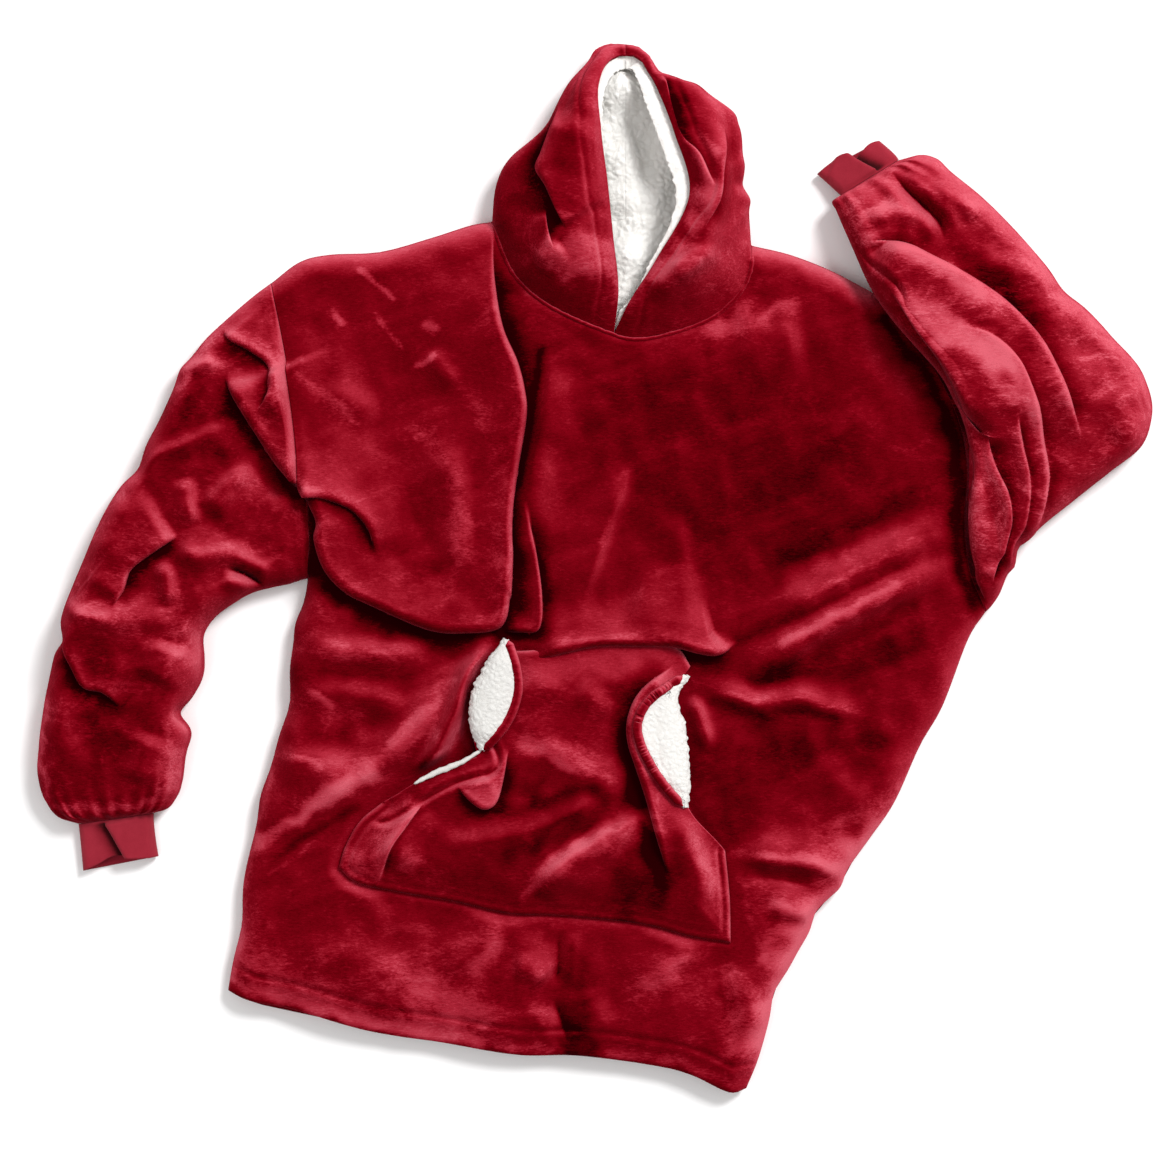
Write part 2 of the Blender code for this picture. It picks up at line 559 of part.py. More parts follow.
def hood_shares(half):
    """Column positions of a hood half from its rim (0) to the centre back (1)."""
    fronts = np.array(FRONT_NECK_STATIONS)
    backs = np.array(BACK_NECK_STATIONS)
    if half == "right":
        over = (FRONT_SPLIT - fronts[fronts <= FRONT_SPLIT][::-1]) / FRONT_SPLIT
        under = backs[(backs > 0) & (backs <= BACK_SPLIT)] / BACK_SPLIT
    else:
        over = (fronts[fronts >= FRONT_SPLIT] - FRONT_SPLIT) / (1 - FRONT_SPLIT)
        under = (1 - backs[(backs < 1) & (backs >= BACK_SPLIT)][::-1]) / (1 - BACK_SPLIT)
    return np.concatenate([HOOD_CORNER_SHARE * over, HOOD_CORNER_SHARE + (1 - HOOD_CORNER_SHARE) * under])


def hood_grids(front, back, half, sections):
    """Outer and inner grid of a hood half, and both grids of its lining."""
    side = -1 if half == "right" else 1
    centre_x = HOOD_CENTRE_X + side * SEAM_GAP / 2
    shares = hood_shares(half)
    count = len(FRONT_NECK_STATIONS)
    neck_start = len(SHOULDER_STATIONS)
    split = FRONT_NECK_STATIONS.index(FRONT_SPLIT)
    necks = front[0][-1, neck_start : neck_start + count]
    fronts = necks[: split + 1][::-1] if half == "right" else necks[split:]
    unders = len(shares) - len(fronts)
    guide = np.vstack([fronts, np.repeat(fronts[-1:], unders, axis=0) + np.arange(1, unders + 1)[:, None]])
    base, into = hood_base(front[0], back[0], guide, half)
    base_inner = hood_base(front[1], back[1], guide, half)[0]
    knots, rows = [0.0], [base]
    for share, rim, crest, flank, flat_side, floor, centre_y in sections:
        section = np.array([rim, crest, flank, flat_side, floor, (centre_x, centre_y, 0)], float)
        if share == 1:
            section[:, 0] = centre_x
        knots.append(share)
        rows.append(through(section, HOOD_SECTION_SHARES, shares))
    outer = through(np.array(rows), knots, HOOD_ROW_STATIONS)
    outer[1:, -1, 0] = centre_x
    outer[-1, :, 0] = centre_x
    outer[..., 2] = np.maximum(outer[..., 2], 0)
    upper = shares < HOOD_CORNER_SHARE
    fade = smoothstep((HOOD_CORNER_SHARE - shares) / 0.15) * smoothstep(shares / 0.12)
    rise = fold_height(outer[..., :2], "hood") * fade * np.sin(np.pi * np.array(HOOD_ROW_STATIONS))[:, None]
    outer[1:-1, upper, 2] += rise[1:-1, upper]
    normals = side * grid_normals(outer)
    normals[-1, :, 0] = 0
    normals[1:, -1] = (0, 0, -1)
    normals /= np.linalg.norm(normals, axis=-1, keepdims=True)
    depths = (0, WALL, WALL + LINING_GAP, WALL + LINING_GAP + LINING_WALL)
    layers = [outer - depth * normals for depth in depths]
    step = (base_inner - base) / WALL
    for layer, depth in zip(layers, depths):
        layer[0] = base + depth * step
        if depth > WALL:
            layer[0, :, :2] += LINING_GAP * into
        layer[-1, :, 0] = centre_x
        layer[:, -1, 0] = centre_x
        layer[0, 0, 0] = base[0, 0] + side * SEAM_GAP / 2
    return layers


def pocket_grids():
    u, v = np.array(POCKET_COLUMNS), np.array(POCKET_ROWS)
    bottom, top = along(POCKET_BOTTOM, u), along(POCKET_TOP, u)
    right = edge(
        [POCKET_SIDE_RIGHT, POCKET_MOUTH_RIGHT_LOW, POCKET_MOUTH_RIGHT_HIGH],
        [0, POCKET_SIDE_ENDS, POCKET_MOUTH_BENDS, 1],
        v,
    )
    left = edge([POCKET_SIDE_LEFT, POCKET_MOUTH_LEFT], [0, POCKET_SIDE_ENDS, 1], v)
    plan = patch(bottom, top, right, left, u, v)
    sewn = [POCKET_BOTTOM, POCKET_TOP, POCKET_SIDE_RIGHT, POCKET_SIDE_LEFT]
    distance = np.min([to_line(plan, smooth_line(seam))[0] for seam in sewn], axis=0)
    lift = smoothstep(distance / POCKET_PUFF_REACH)
    folds = np.zeros(lift.shape)
    for height, half_width, points in POCKET_FOLDS:
        far, _, share, _ = to_line(plan, smooth_line(points))
        folds += height * np.exp(-((far / half_width) ** 2)) * ends_fade(share)
    low = FRONT_TOP + SEAM_HALF_GAP + SEAM_GAP
    rise = np.maximum(POCKET_PUFF * lift + folds * np.sqrt(lift), 0)
    outer = np.dstack([plan, low + WALL + rise])
    inner = np.dstack([plan, low + rise])
    return outer, inner


def roll_grids(edge_points, outward, reach):
    """The turned-back sherpa edge along a pocket mouth: a curl from the mouth back over the pocket."""
    shares = np.linspace(0, 1, len(edge_points))
    lengths = through(np.array(reach, float)[:, None], np.linspace(0, 1, len(reach)), shares)[:, 0]
    section = np.array(ROLL_SECTION, float)
    out, back, up = through(section[:, 1:], section[:, 0], ROLL_STATIONS).T
    plan_shift = out[None, :] - lengths[:, None] * back[None, :]
    small = np.clip(lengths / 30, 0.55, 1)[:, None]
    line = np.zeros((len(edge_points), len(out), 3))
    line[..., :2] = edge_points[:, None, :2] + plan_shift[..., None] * outward[:, None, :]
    line[..., 2] = edge_points[:, None, 2] + up[None, :] * small
    normals = grid_normals(line)
    normals[:, 0] = (0, 0, np.sign(normals[0, 0, 2]))
    half = LINING_WALL / 2
    return line + half * normals, line - half * normals


def triangle_strip(a, b, c, d):
    """Two triangles for a grid cell, always split along the same diagonal."""
    return [(a, b, c), (a, c, d)]


def wall_faces(rows, columns, closed):
    """Faces of a wall between an outer grid (first) and an inner grid of the same shape."""
    count = rows * columns
    faces = []
    spans = columns if closed else columns - 1
    for i in range(rows - 1):
        for j in range(spans):
            k = (j + 1) % columns
            a, b = i * columns + j, i * columns + k
            c, d = (i + 1) * columns + k, (i + 1) * columns + j
            faces += triangle_strip(a, b, c, d)
            faces += [face[::-1] for face in triangle_strip(a + count, b + count, c + count, d + count)]
    for j in range(spans):
        k = (j + 1) % columns
        last = (rows - 1) * columns
        faces += triangle_strip(j + count, k + count, k, j)
        faces += triangle_strip(last + j, last + k, last + k + count, last + j + count)
    if not closed:
        for i in range(rows - 1):
            low, high = i * columns, (i + 1) * columns
            faces += triangle_strip(low, high, high + count, low + count)
            low, high = low + columns - 1, high + columns - 1
            faces += triangle_strip(low + count, high + count, high, low)
    return faces


def signed_volume(points, faces):
    corners = points[np.array(faces)]
    return np.einsum("ij,ij->i", corners[:, 0], np.cross(corners[:, 1], corners[:, 2])).sum() / 6


def add_wall(collection, name, grids, material, closed=False):
    outer, inner = grids
    points = np.vstack([outer.reshape(-1, 3), inner.reshape(-1, 3)]) * MM
    faces = wall_faces(outer.shape[0], outer.shape[1], closed)
    if signed_volume(points, faces) < 0:
        faces = [face[::-1] for face in faces]
    mesh = bpy.data.meshes.new(name)
    mesh.from_pydata([tuple(p) for p in points], [], faces)
    mesh.materials.append(material)
    mesh.polygons.foreach_set("use_smooth", [True] * len(mesh.polygons))
    mesh.update()
    collection.objects.link(bpy.data.objects.new(name, mesh))


def make_material(name):
    colour, roughness = MATERIALS[name]
    material = bpy.data.materials.new(name)
    material.use_nodes = True
    shader = material.node_tree.nodes["Principled BSDF"]
    shader.inputs["Base Color"].default_value = colour
    shader.inputs["Roughness"].default_value = roughness
    shader.inputs["Metallic"].default_value = 0.0
    material.diffuse_color = colour
    return material


def mouth_normals(points, sign):
    """Directions out of the pocket along one of its mouths."""
    tangent = np.gradient(points[:, :2], axis=0)
    tangent /= np.linalg.norm(tangent, axis=1, keepdims=True)
    return sign * np.column_stack([tangent[:, 1], -tangent[:, 0]])


def main():
    for thing in list(bpy.data.objects):
        bpy.data.objects.remove(thing)
    collection = bpy.data.collections.new("blanket_hoodie")
    bpy.context.scene.collection.children.link(collection)
    plush, sherpa, jersey = (make_material(name) for name in MATERIALS)

    front, back = front_grids(), back_grids()
    add_wall(collection, "front_panel", front, plush)
    add_wall(collection, "back_panel", back, plush)

    towards_right = np.array([-SEAM_GAP, 0, 0])
    right_rings = [((r[0], r[1]), (r[2], r[3]), 0, 0, 0, r[4]) for r in SLEEVE_RIGHT_RINGS]
    sleeve_right = sleeve_grids(front, back, 0, towards_right, right_rings, "sleeve_right")
    add_wall(collection, "sleeve_right", sleeve_right, plush, closed=True)
    left_rings = [((r[0], r[1]), (r[2], r[3]), r[4], r[5], r[6], r[7]) for r in SLEEVE_LEFT_RINGS]
    sleeve_left = sleeve_grids(front, back, -1, -towards_right, left_rings, "sleeve_left")
    add_wall(collection, "sleeve_left", sleeve_left, plush, closed=True)
    cuff_right = cuff_grids(sleeve_right, CUFF_RIGHT_RINGS, np.array([0, -SEAM_GAP, 0]))
    add_wall(collection, "cuff_right", cuff_right, jersey, closed=True)
    cuff_left = cuff_grids(sleeve_left, CUFF_LEFT_RINGS, np.array([-0.5, 0.8, 0]) * SEAM_GAP)
    add_wall(collection, "cuff_left", cuff_left, jersey, closed=True)

    for half, sections in (("right", HOOD_RIGHT_SECTIONS), ("left", HOOD_LEFT_SECTIONS)):
        layers = hood_grids(front, back, half, sections)
        add_wall(collection, f"hood_{half}", layers[:2], plush)
        add_wall(collection, f"hood_lining_{half}", layers[2:], sherpa)

    pocket = pocket_grids()
    add_wall(collection, "pocket", pocket, plush)
    rows = np.array(POCKET_ROWS)
    mouth = pocket[0][rows >= POCKET_MOUTH_BENDS, 0]
    roll = roll_grids(mouth, mouth_normals(mouth, -1), ROLL_RIGHT_REACH)
    add_wall(collection, "pocket_lining_right", roll, sherpa)
    mouth = pocket[0][rows >= ROLL_LEFT_STARTS, -1]
    roll = roll_grids(mouth, mouth_normals(mouth, 1), ROLL_LEFT_REACH)
    add_wall(collection, "pocket_lining_left", roll, sherpa)


main()
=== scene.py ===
"""The looks of an oversized blanket hoodie in plush with a sherpa-lined hood, laid flat, front up.

X runs to the viewer's right, Y from the hem to the hood, Z up from the surface. The tables are in
millimetres. Right and left in the names are the wearer's, so the right sleeve has negative X.
"""

import json

import bpy
import numpy as np
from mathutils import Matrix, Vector, kdtree, noise

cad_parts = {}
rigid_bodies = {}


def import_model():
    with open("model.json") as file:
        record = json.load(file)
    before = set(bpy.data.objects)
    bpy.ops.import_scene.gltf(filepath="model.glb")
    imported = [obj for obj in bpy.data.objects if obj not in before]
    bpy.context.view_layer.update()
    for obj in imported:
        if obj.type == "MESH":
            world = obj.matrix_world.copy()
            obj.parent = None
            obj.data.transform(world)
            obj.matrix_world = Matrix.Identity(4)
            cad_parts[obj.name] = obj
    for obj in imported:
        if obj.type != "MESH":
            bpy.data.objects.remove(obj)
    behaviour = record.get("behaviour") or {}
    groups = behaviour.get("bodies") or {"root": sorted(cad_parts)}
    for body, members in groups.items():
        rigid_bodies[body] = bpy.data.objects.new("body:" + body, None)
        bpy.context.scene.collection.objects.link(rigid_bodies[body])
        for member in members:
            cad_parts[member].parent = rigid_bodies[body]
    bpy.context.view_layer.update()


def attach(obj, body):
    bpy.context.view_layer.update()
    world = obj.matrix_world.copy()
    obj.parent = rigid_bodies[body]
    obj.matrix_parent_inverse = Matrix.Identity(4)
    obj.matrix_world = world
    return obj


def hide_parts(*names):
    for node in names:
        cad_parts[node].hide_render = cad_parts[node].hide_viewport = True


MM = 0.001

# Sizes of the cloth, as in the CAD model
WALL = 5.0
LINING_WALL = 4.0
CUFF_WALL = 2.0
# Painted shade inside the cuff, growing towards its open end
CUFF_INSIDE_PAINTED_SHADE = 0.6
SEAM_GAP = 0.36
LINING_GAP = 0.85
HOOD_SEAM_GAP = 0.6
SEAM_HEIGHT = 13.0
SEAM_HALF_GAP = 0.15
FRONT_TOP = 36.0
FRONT_EDGE_RADIUS = 28.0
BACK_EDGE_RADIUS = 22.0
HEM_DROP = 9.0
HEM_ROLL = 45.0

# Height where the folds begin to level off, and the most that they rise beyond it
LEVEL_FROM = 84.0
HEADROOM = 9.0

# Distances from the pocket's outline where the front is flat, and where its folds are back
FLAT_BY_POCKET = 2.0
RISE_BY_POCKET = 13.0

# Stitched grooves: distance from the edge, depth, half width
HEM_STITCHES = (28.0, 1.3, 3.0)
HOOD_STITCHES = (24.0, 1.0, 3.0)
POCKET_STITCHES = (8.0, 1.4, 2.0)
MOUTH_BAND = (21.0, 3.0, 3.0)
# Turned edges: width, drop
HEM_TURN = (6.0, 4.0)
POCKET_TURN = (7.0, 3.4)
# Dips of the cloth along a seam, and how far from the seam they are worked out
SEAM_DIP, SEAM_DIP_WIDTH, SEAM_REACH = 1.2, 5.0, 30.0
POCKET_DIP, POCKET_DIP_WIDTH = 1.5, 5.0
SLEEVE_SEAM_DIP, SLEEVE_SEAM_WIDTH = 0.36, 9.0
# Highest point of the front's inner layer over the flat front
INNER_HEADROOM = 9.0
# How much shorter the back's hem is in its middle, and how far it peeps out at its right end
BACK_HEM_SHORTER, BACK_HEM_PEEPS, BACK_HEM_PEEPS_TO = 12.0, 9.0, 0.3

# Which way each half lies along X
SIDE = {"right": -1, "left": 1}

# Outline of the body, as points (x, y)
SIDE_RIGHT = [
    (-402, -465), (-392, -400), (-384, -339), (-368, -274), (-351, -205),
    (-339, -148), (-332, -95), (-319, -42), (-314, -12),
]
ARMHOLE_RIGHT = [(-314, -12), (-314, 35), (-317, 90), (-323, 145), (-331, 195), (-341, 250), (-354, 313)]
SIDE_LEFT = [
    (168, -573), (182, -538), (201, -474), (222, -428), (246, -388), (270, -345),
    (303, -299), (331, -258), (359, -196), (384, -152), (412, -79), (431, -49),
]
ARMHOLE_LEFT = [
    (431, -49), (412, -3), (406, 52), (409, 107),
    (401, 157), (376, 212), (343, 256), (318, 296),
]
HEM = [
    (-402, -465), (-376, -476), (-327, -486), (-246, -509), (-164, -522), (-83, -535),
    (-15, -536), (67, -547), (107, -557), (148, -576), (168, -573),
]
SHOULDER_RIGHT = [(-354, 313), (-323, 336), (-290, 344), (-235, 347), (-180, 362), (-136, 376), (-112, 380)]
SHOULDER_LEFT = [(174, 354), (216, 344), (260, 327), (302, 305), (318, 296)]
NECK_FRONT = [
    (-112, 380), (-99, 345), (-82, 314), (-48, 286), (7, 261), (51, 250),
    (117, 267), (155, 294), (172, 325), (174, 354),
]
NECK_BACK = [(-112, 380), (174, 354)]

# Where the corners of the body lie along its top edge and its side edges
NECK_STARTS, NECK_ENDS = 0.36, 0.79
ARMPIT = 0.6
FRONT_SPLIT = 0.48
BACK_SPLIT = 0.514
HOOD_CENTRE_X = 35.0

# Cells of the fine grids along each stretch
SIDE_CELLS, ARMHOLE_CELLS, SHOULDER_CELLS, NECK_CELLS = 205, 125, 102, 110
FAR_SHOULDER_CELLS = 58
BACK_SIDE_CELLS, BACK_ARMHOLE_CELLS, BACK_SHOULDER_CELLS, BACK_NECK_CELLS = 44, 36, 24, 30
SLEEVE_OVER_CELLS, SLEEVE_UNDER_CELLS, SLEEVE_LENGTH_CELLS = 150, 40, 210
CUFF_OVER_CELLS, CUFF_UNDER_CELLS, CUFF_LENGTH_CELLS = 70, 30, 26
# Over, under and along
HOOD_CELLS = (130, 40, 130)
LINING_CELLS = (110, 130, 150)
POCKET_CELLS_UP, POCKET_CELLS_ACROSS = 150, 190
ROLL_CELLS_ALONG, ROLL_CELLS_ROUND = 190, 70

# Laps: how many reaches from the line they are worked out, and where the high side comes back to nothing
LAP_REACHES = 4
LAP_WINDOW = 2.3
# How far the folded edge is turned under, in degrees, and the least radius of its turn
LAP_UNDERCUT = 45.0
LEAST_CURL = 0.5
# Millimetres over which the cloth behind the edge is drawn back
DRAWN_BACK = 45.0
# Share of its radius, and number of radii, by which the cloth beside the edge slips under it
SLIPS_UNDER, SLIP_RADII = 0.5, 3
# Painted highlight along the rim of a lap, and the share of the turn where it begins
PAINTED_RIM_HIGHLIGHT, RIM_FROM = 0.4, 0.35
# Width of the painted shade in the crease beside the edge, and its growth for each millimetre of the lap's
# height
PAINTED_CREASE_WIDTH, PAINTED_CREASE_GROWTH = 5.0, 0.75

# Folds: how many half widths from the line they are worked out, share of the line over which they fade
FOLD_REACH, FOLD_FADE = 3.2, 0.3
# How much higher the folds are than in the table, apart from the pocket's
FOLD_GAIN = 1.4
# Painted highlight on a ridge and painted shade in a crease for each millimetre of height
PAINTED_RIDGE_HIGHLIGHT, PAINTED_CREASE_SHADE = 0.02, 0.08
# Steepness of a crease, and the height, place and width of its two swellings
CREASE_STEEPNESS = 1.6
SWELLING_SHARE, SWELLING_AT, SWELLING_WIDTH = 0.45, 1.5, 0.9

# Laps, where a fold of the cloth overhangs what lies beside it. The high side is left of the line
# pieces, height, radius of the folded edge, reach of the high side, fade at the start, at the end, line
LAPS = [
    ("body sleeve_right", 20, 8, 60, 30, 90, [
        (-404, 211), (-398, 193), (-387, 173), (-368, 143), (-350, 115), (-334, 96), (-316, 74),
        (-304, 50), (-306, 30), (-295, -3), (-273, -27), (-246, -41), (-180, -69), (-136, -72),
        (-108, -69), (-97, -60), (-92, -40), (-90, 6), (-90, 44), (-83, 103), (-73, 165), (-75, 195),
        (-83, 226), (-99, 264), (-108, 316), (-111, 372),
    ]),
    ("body", 9, 5, 26, 12, 34, [(-320, 80), (-304, 80), (-288, 77), (-261, 63), (-243, 39), (-236, 8)]),
    ("body", 10, 4, 28, 20, 60, [
        (-100, -73), (-78, -71), (-62, -68), (-56, -50), (-57, -20), (-62, 14), (-68, 44), (-74, 80),
    ]),
    ("tongue", 17, 7, 28, 45, 34, [
        (-78, -106), (-60, -101), (-30, -94), (6, -87), (50, -87), (88, -88), (112, -94), (132, -97),
        (146, -92), (156, -80),
    ]),
    ("sleeve_left", 13, 6, 46, 24, 30, [
        (322, 296), (346, 258), (379, 214), (404, 158), (412, 107), (409, 52), (415, -2), (432, -44),
    ]),
    ("hood", 8, 4, 24, 20, 8, [(128, 412), (122, 428), (113, 450), (97, 470), (87, 499), (78, 536)]),
    ("sleeve_right", 10, 5, 24, 15, 25, [
        (-409, 261), (-398, 248), (-378, 237), (-358, 222), (-351, 202), (-356, 184), (-367, 168),
    ]),
    ("sleeve_right", 11, 5, 50, 18, 18, [(-524, -44), (-512, -25), (-505, -4), (-481, 15), (-452, 34)]),
    ("sleeve_right", 12, 5, 55, 8, 28, [
        (-598, -70), (-588, -79), (-572, -107), (-558, -131), (-535, -138), (-516, -155),
    ]),
    ("sleeve_left", 14, 7, 60, 60, 50, [
        (534, 131), (523, 171), (508, 211), (486, 251), (449, 291), (406, 320), (369, 339), (340, 353),
        (314, 356), (290, 352),
    ]),
    ("sleeve_left", 12, 5, 30, 24, 70, [
        (484, 20), (496, 83), (496, 113), (486, 157), (475, 190), (458, 226), (430, 252), (396, 262),
    ]),
    ("sleeve_left", 8, 4, 20, 16, 24, [(456, 0), (470, 50), (474, 92), (466, 132), (456, 168)]),
    ("sleeve_left", 8, 4, 18, 12, 24, [(440, -16), (452, 34), (452, 76), (440, 112), (430, 146)]),
    ("hood", 13, 6, 48, 30, 12, [
        (-38, 505), (-48, 479), (-58, 452), (-64, 434), (-53, 414), (-42, 389), (-31, 368),
    ]),
    ("hood", 6, 3, 16, 10, 10, [(-43, 345), (-49, 365), (-53, 388)]),
    ("hood", 8, 5, 34, 30, 45, [(120, 368), (138, 399), (142, 432), (145, 457), (142, 486)]),
    ("pocket", 16, 6, 30, 30, 60, [
        (88, -108), (64, -122), (45, -142), (36, -168), (37, -192), (46, -220), (57, -254), (68, -294),
        (84, -345),
    ]),
    ("pocket", 6, 3, 26, 20, 20, [(-236, -362), (-223, -312), (-203, -282), (-183, -254)]),
    ("pocket", 6, 4, 16, 16, 24, [
        (-150, -238), (-136, -254), (-120, -264), (-106, -257), (-98, -231), (-93, -198),
    ]),
]

# Folds: a rounded ridge, or a crease between two swellings where the height is negative
# height, half width left of the line and right of it, line
FOLDS = {
    "body": [
        (7, 28, 8, [(-45, 245), (-47, 200), (-54, 165), (-68, 103), (-77, 44), (-75, -10)]),
        (5, 8, 28, [(40, 118), (32, 93), (16, 50), (0, 5), (-18, -50)]),
        (2, 9, 20, [(88, 64), (93, 34), (99, 4), (105, -30)]),
        (9, 24, 12, [(170, -60), (225, -38), (272, -14), (331, 16), (390, 46)]),
        (11, 24, 13, [(150, -112), (202, -98), (237, -76), (298, -43), (345, -20), (398, 12)]),
        (6, 15, 7, [
            (108, -126), (139, -139), (161, -146), (183, -153), (196, -149), (227, -146), (258, -155),
            (300, -162),
        ]),
        (5, 7, 9, [(106, -138), (114, -160), (122, -184), (128, -202)]),
        (8, 24, 8, [(150, -317), (183, -320), (227, -324), (262, -333), (288, -338)]),
        (-3, 9, 12, [(165, -336), (210, -342), (250, -352)]),
        (5, 14, 8, [(186, -372), (225, -380), (254, -388)]),
        (4, 20, 20, [(150, -440), (166, -470), (178, -520)]),
        (10, 17, 28, [(-136, -96), (-150, -124), (-200, -188), (-240, -218), (-300, -256), (-352, -306)]),
        (7, 14, 16, [(-322, -84), (-279, -92), (-224, -97), (-172, -92)]),
        (7, 18, 18, [(-330, -146), (-290, -137), (-235, -146), (-196, -158)]),
        (6, 20, 24, [(-352, -216), (-310, -216), (-262, -236)]),
        (17, 9, 12, [
            (-118, -66), (-120, -92), (-136, -116), (-144, -140), (-158, -174), (-176, -206), (-210, -236),
        ]),
        (-4, 9, 20, [(-37, -396), (-38, -430), (-40, -462)]),
        (-5, 20, 14, [(-45, -470), (-34, -500), (-26, -526)]),
        (6, 12, 18, [(-48, -456), (-70, -440), (-92, -438)]),
        (4, 14, 22, [(-90, -384), (-125, -414), (-168, -450)]),
        (4, 14, 20, [(116, -412), (80, -436), (34, -464)]),
        (5, 24, 30, [(-330, -420), (-270, -430), (-200, -460)]),
        (5, 16, 26, [(-182, 152), (-160, 110), (-150, 60), (-152, 10), (-164, -24)]),
        (4, 24, 34, [(150, 250), (190, 246), (236, 250)]),
        (4, 16, 16, [(-300, 196), (-262, 180), (-232, 160)]),
        (4, 10, 10, [(-180, 240), (-168, 214), (-150, 196)]),
        (5, 30, 30, [(30, -20), (80, -34), (128, -30)]),
        (5, 14, 14, [(288, -470), (262, -420), (252, -400)]),
        (5, 22, 22, [(300, -270), (270, -240), (250, -200)]),
    ],
    "sleeve_right": [
        (4, 8, 8, [(-516, 104), (-455, 130), (-380, 160)]),
        (6, 18, 12, [(-594, -76), (-540, -60), (-470, -58), (-436, -74)]),
        (4, 7, 7, [(-462, 208), (-430, 222), (-404, 222)]),
        (6, 12, 18, [(-428, 58), (-402, 86), (-373, 114)]),
        (6, 10, 14, [(-448, 100), (-444, 70), (-438, 44)]),
        (-9, 9, 9, [(-404, 0), (-381, -8), (-360, -22)]),
        (7, 12, 12, [(-462, 24), (-430, 10), (-405, 14), (-372, 20)]),
        (6, 10, 10, [(-474, 10), (-466, -18), (-462, -44)]),
        (5, 7, 7, [(-596, -30), (-556, -50), (-516, -60)]),
        (6, 20, 20, [(-460, -80), (-470, -110), (-480, -130)]),
        (5, 16, 20, [(-590, -150), (-580, -190), (-560, -230)]),
        (6, 18, 18, [(-478, -180), (-492, -210), (-500, -240)]),
        (5, 22, 22, [(-560, 10), (-540, 50), (-520, 90)]),
    ],
    "sleeve_left": [
        (-8, 9, 9, [(324, 436), (340, 414), (358, 396), (377, 376), (384, 350)]),
        (6, 14, 14, [(300, 372), (330, 384), (356, 372)]),
        (-6, 8, 12, [(292, 338), (324, 352), (352, 346)]),
        (6, 18, 18, [(300, 320), (350, 318), (400, 296), (440, 262)]),
        (5, 12, 20, [(392, 232), (430, 210), (462, 180)]),
        (7, 10, 12, [(404, 172), (412, 120), (424, 60), (430, 0)]),
        (-3, 4, 4, [(271, 398), (285, 357), (296, 335), (322, 309), (362, 259), (399, 218), (421, 164)]),
        (6, 22, 22, [(440, 350), (490, 300), (540, 236)]),
        (6, 24, 24, [(560, 200), (580, 160), (566, 130)]),
        (6, 12, 12, [(368, 424), (392, 404), (430, 380)]),
    ],
    "hood": [
        (5, 12, 12, [(-34, 352), (-50, 340), (-66, 332)]),
        (6, 14, 14, [(60, 292), (94, 318), (118, 350)]),
        (5, 10, 10, [(84, 318), (108, 330), (140, 346)]),
    ],
    "pocket": [
        (15, 26, 12, [(70, -262), (52, -276), (8, -298), (-38, -328), (-72, -362)]),
        (10, 24, 14, [(36, -224), (6, -252), (-40, -278), (-88, -294), (-150, -304), (-184, -312)]),
        (7, 12, 18, [(-124, -222), (-118, -250), (-114, -270)]),
        (9, 16, 16, [(88, -262), (112, -316), (130, -376)]),
        (7, 16, 16, [(-196, -250), (-216, -300), (-208, -344)]),
        (6, 14, 18, [(-76, -186), (-32, -204), (-8, -222), (30, -224)]),
        (6, 14, 14, [(-24, -130), (0, -148), (20, -166)]),
        (4, 10, 10, [(-60, -346), (-40, -366), (-36, -380)]),
    ],
}

# Small pushes of the cloth in plan that give the outline its dents and bulges
# x, y, push along x, push along y, radius
PUSHES = {
    "sleeve_right": [
        (-446, -160, -9, 0, 11),
        (-436, -106, 5, 0, 24),
        (-446, -184, 4, 0, 14),
        (-594, -76, 8, -2, 13),
        (-504, 112, 5, -4, 18),
        (-450, 214, -3, 3, 14),
        (-372, -50, 0, 5, 20),
    ],
    "sleeve_left": [
        (470, 20, -3, 3, 8),
        (458, 4, 3, -3, 8),
        (372, 446, 4, 4, 16),
        (520, 306, -4, -3, 22),
    ],
    "body": [
        (-340, -150, 5, 0, 26),
        (-322, -62, -4, 0, 18),
        (-362, -250, -4, 0, 24),
        (-390, -392, 4, 0, 30),
        (252, -384, -5, 3, 16),
        (270, -350, 4, -3, 14),
        (206, -470, -4, 2, 20),
    ],
    "hood": [
        (72, 549, -3, -7, 12),
        (112, 526, 2, 5, 16),
        (158, 440, 3, 0, 9),
        (162, 418, -4, 0, 8),
        (168, 402, 3, 0, 8),
    ],
}

# Brushed patches and painted light: share of the half width by which they wander off their lines, and how
# that varies
WANDER, WANDER_LENGTH, WANDER_SEEDS = 0.4, 34.0, (71, 72)
# How many half widths from its line a patch is worked out
BRUSH_REACH = 2.6
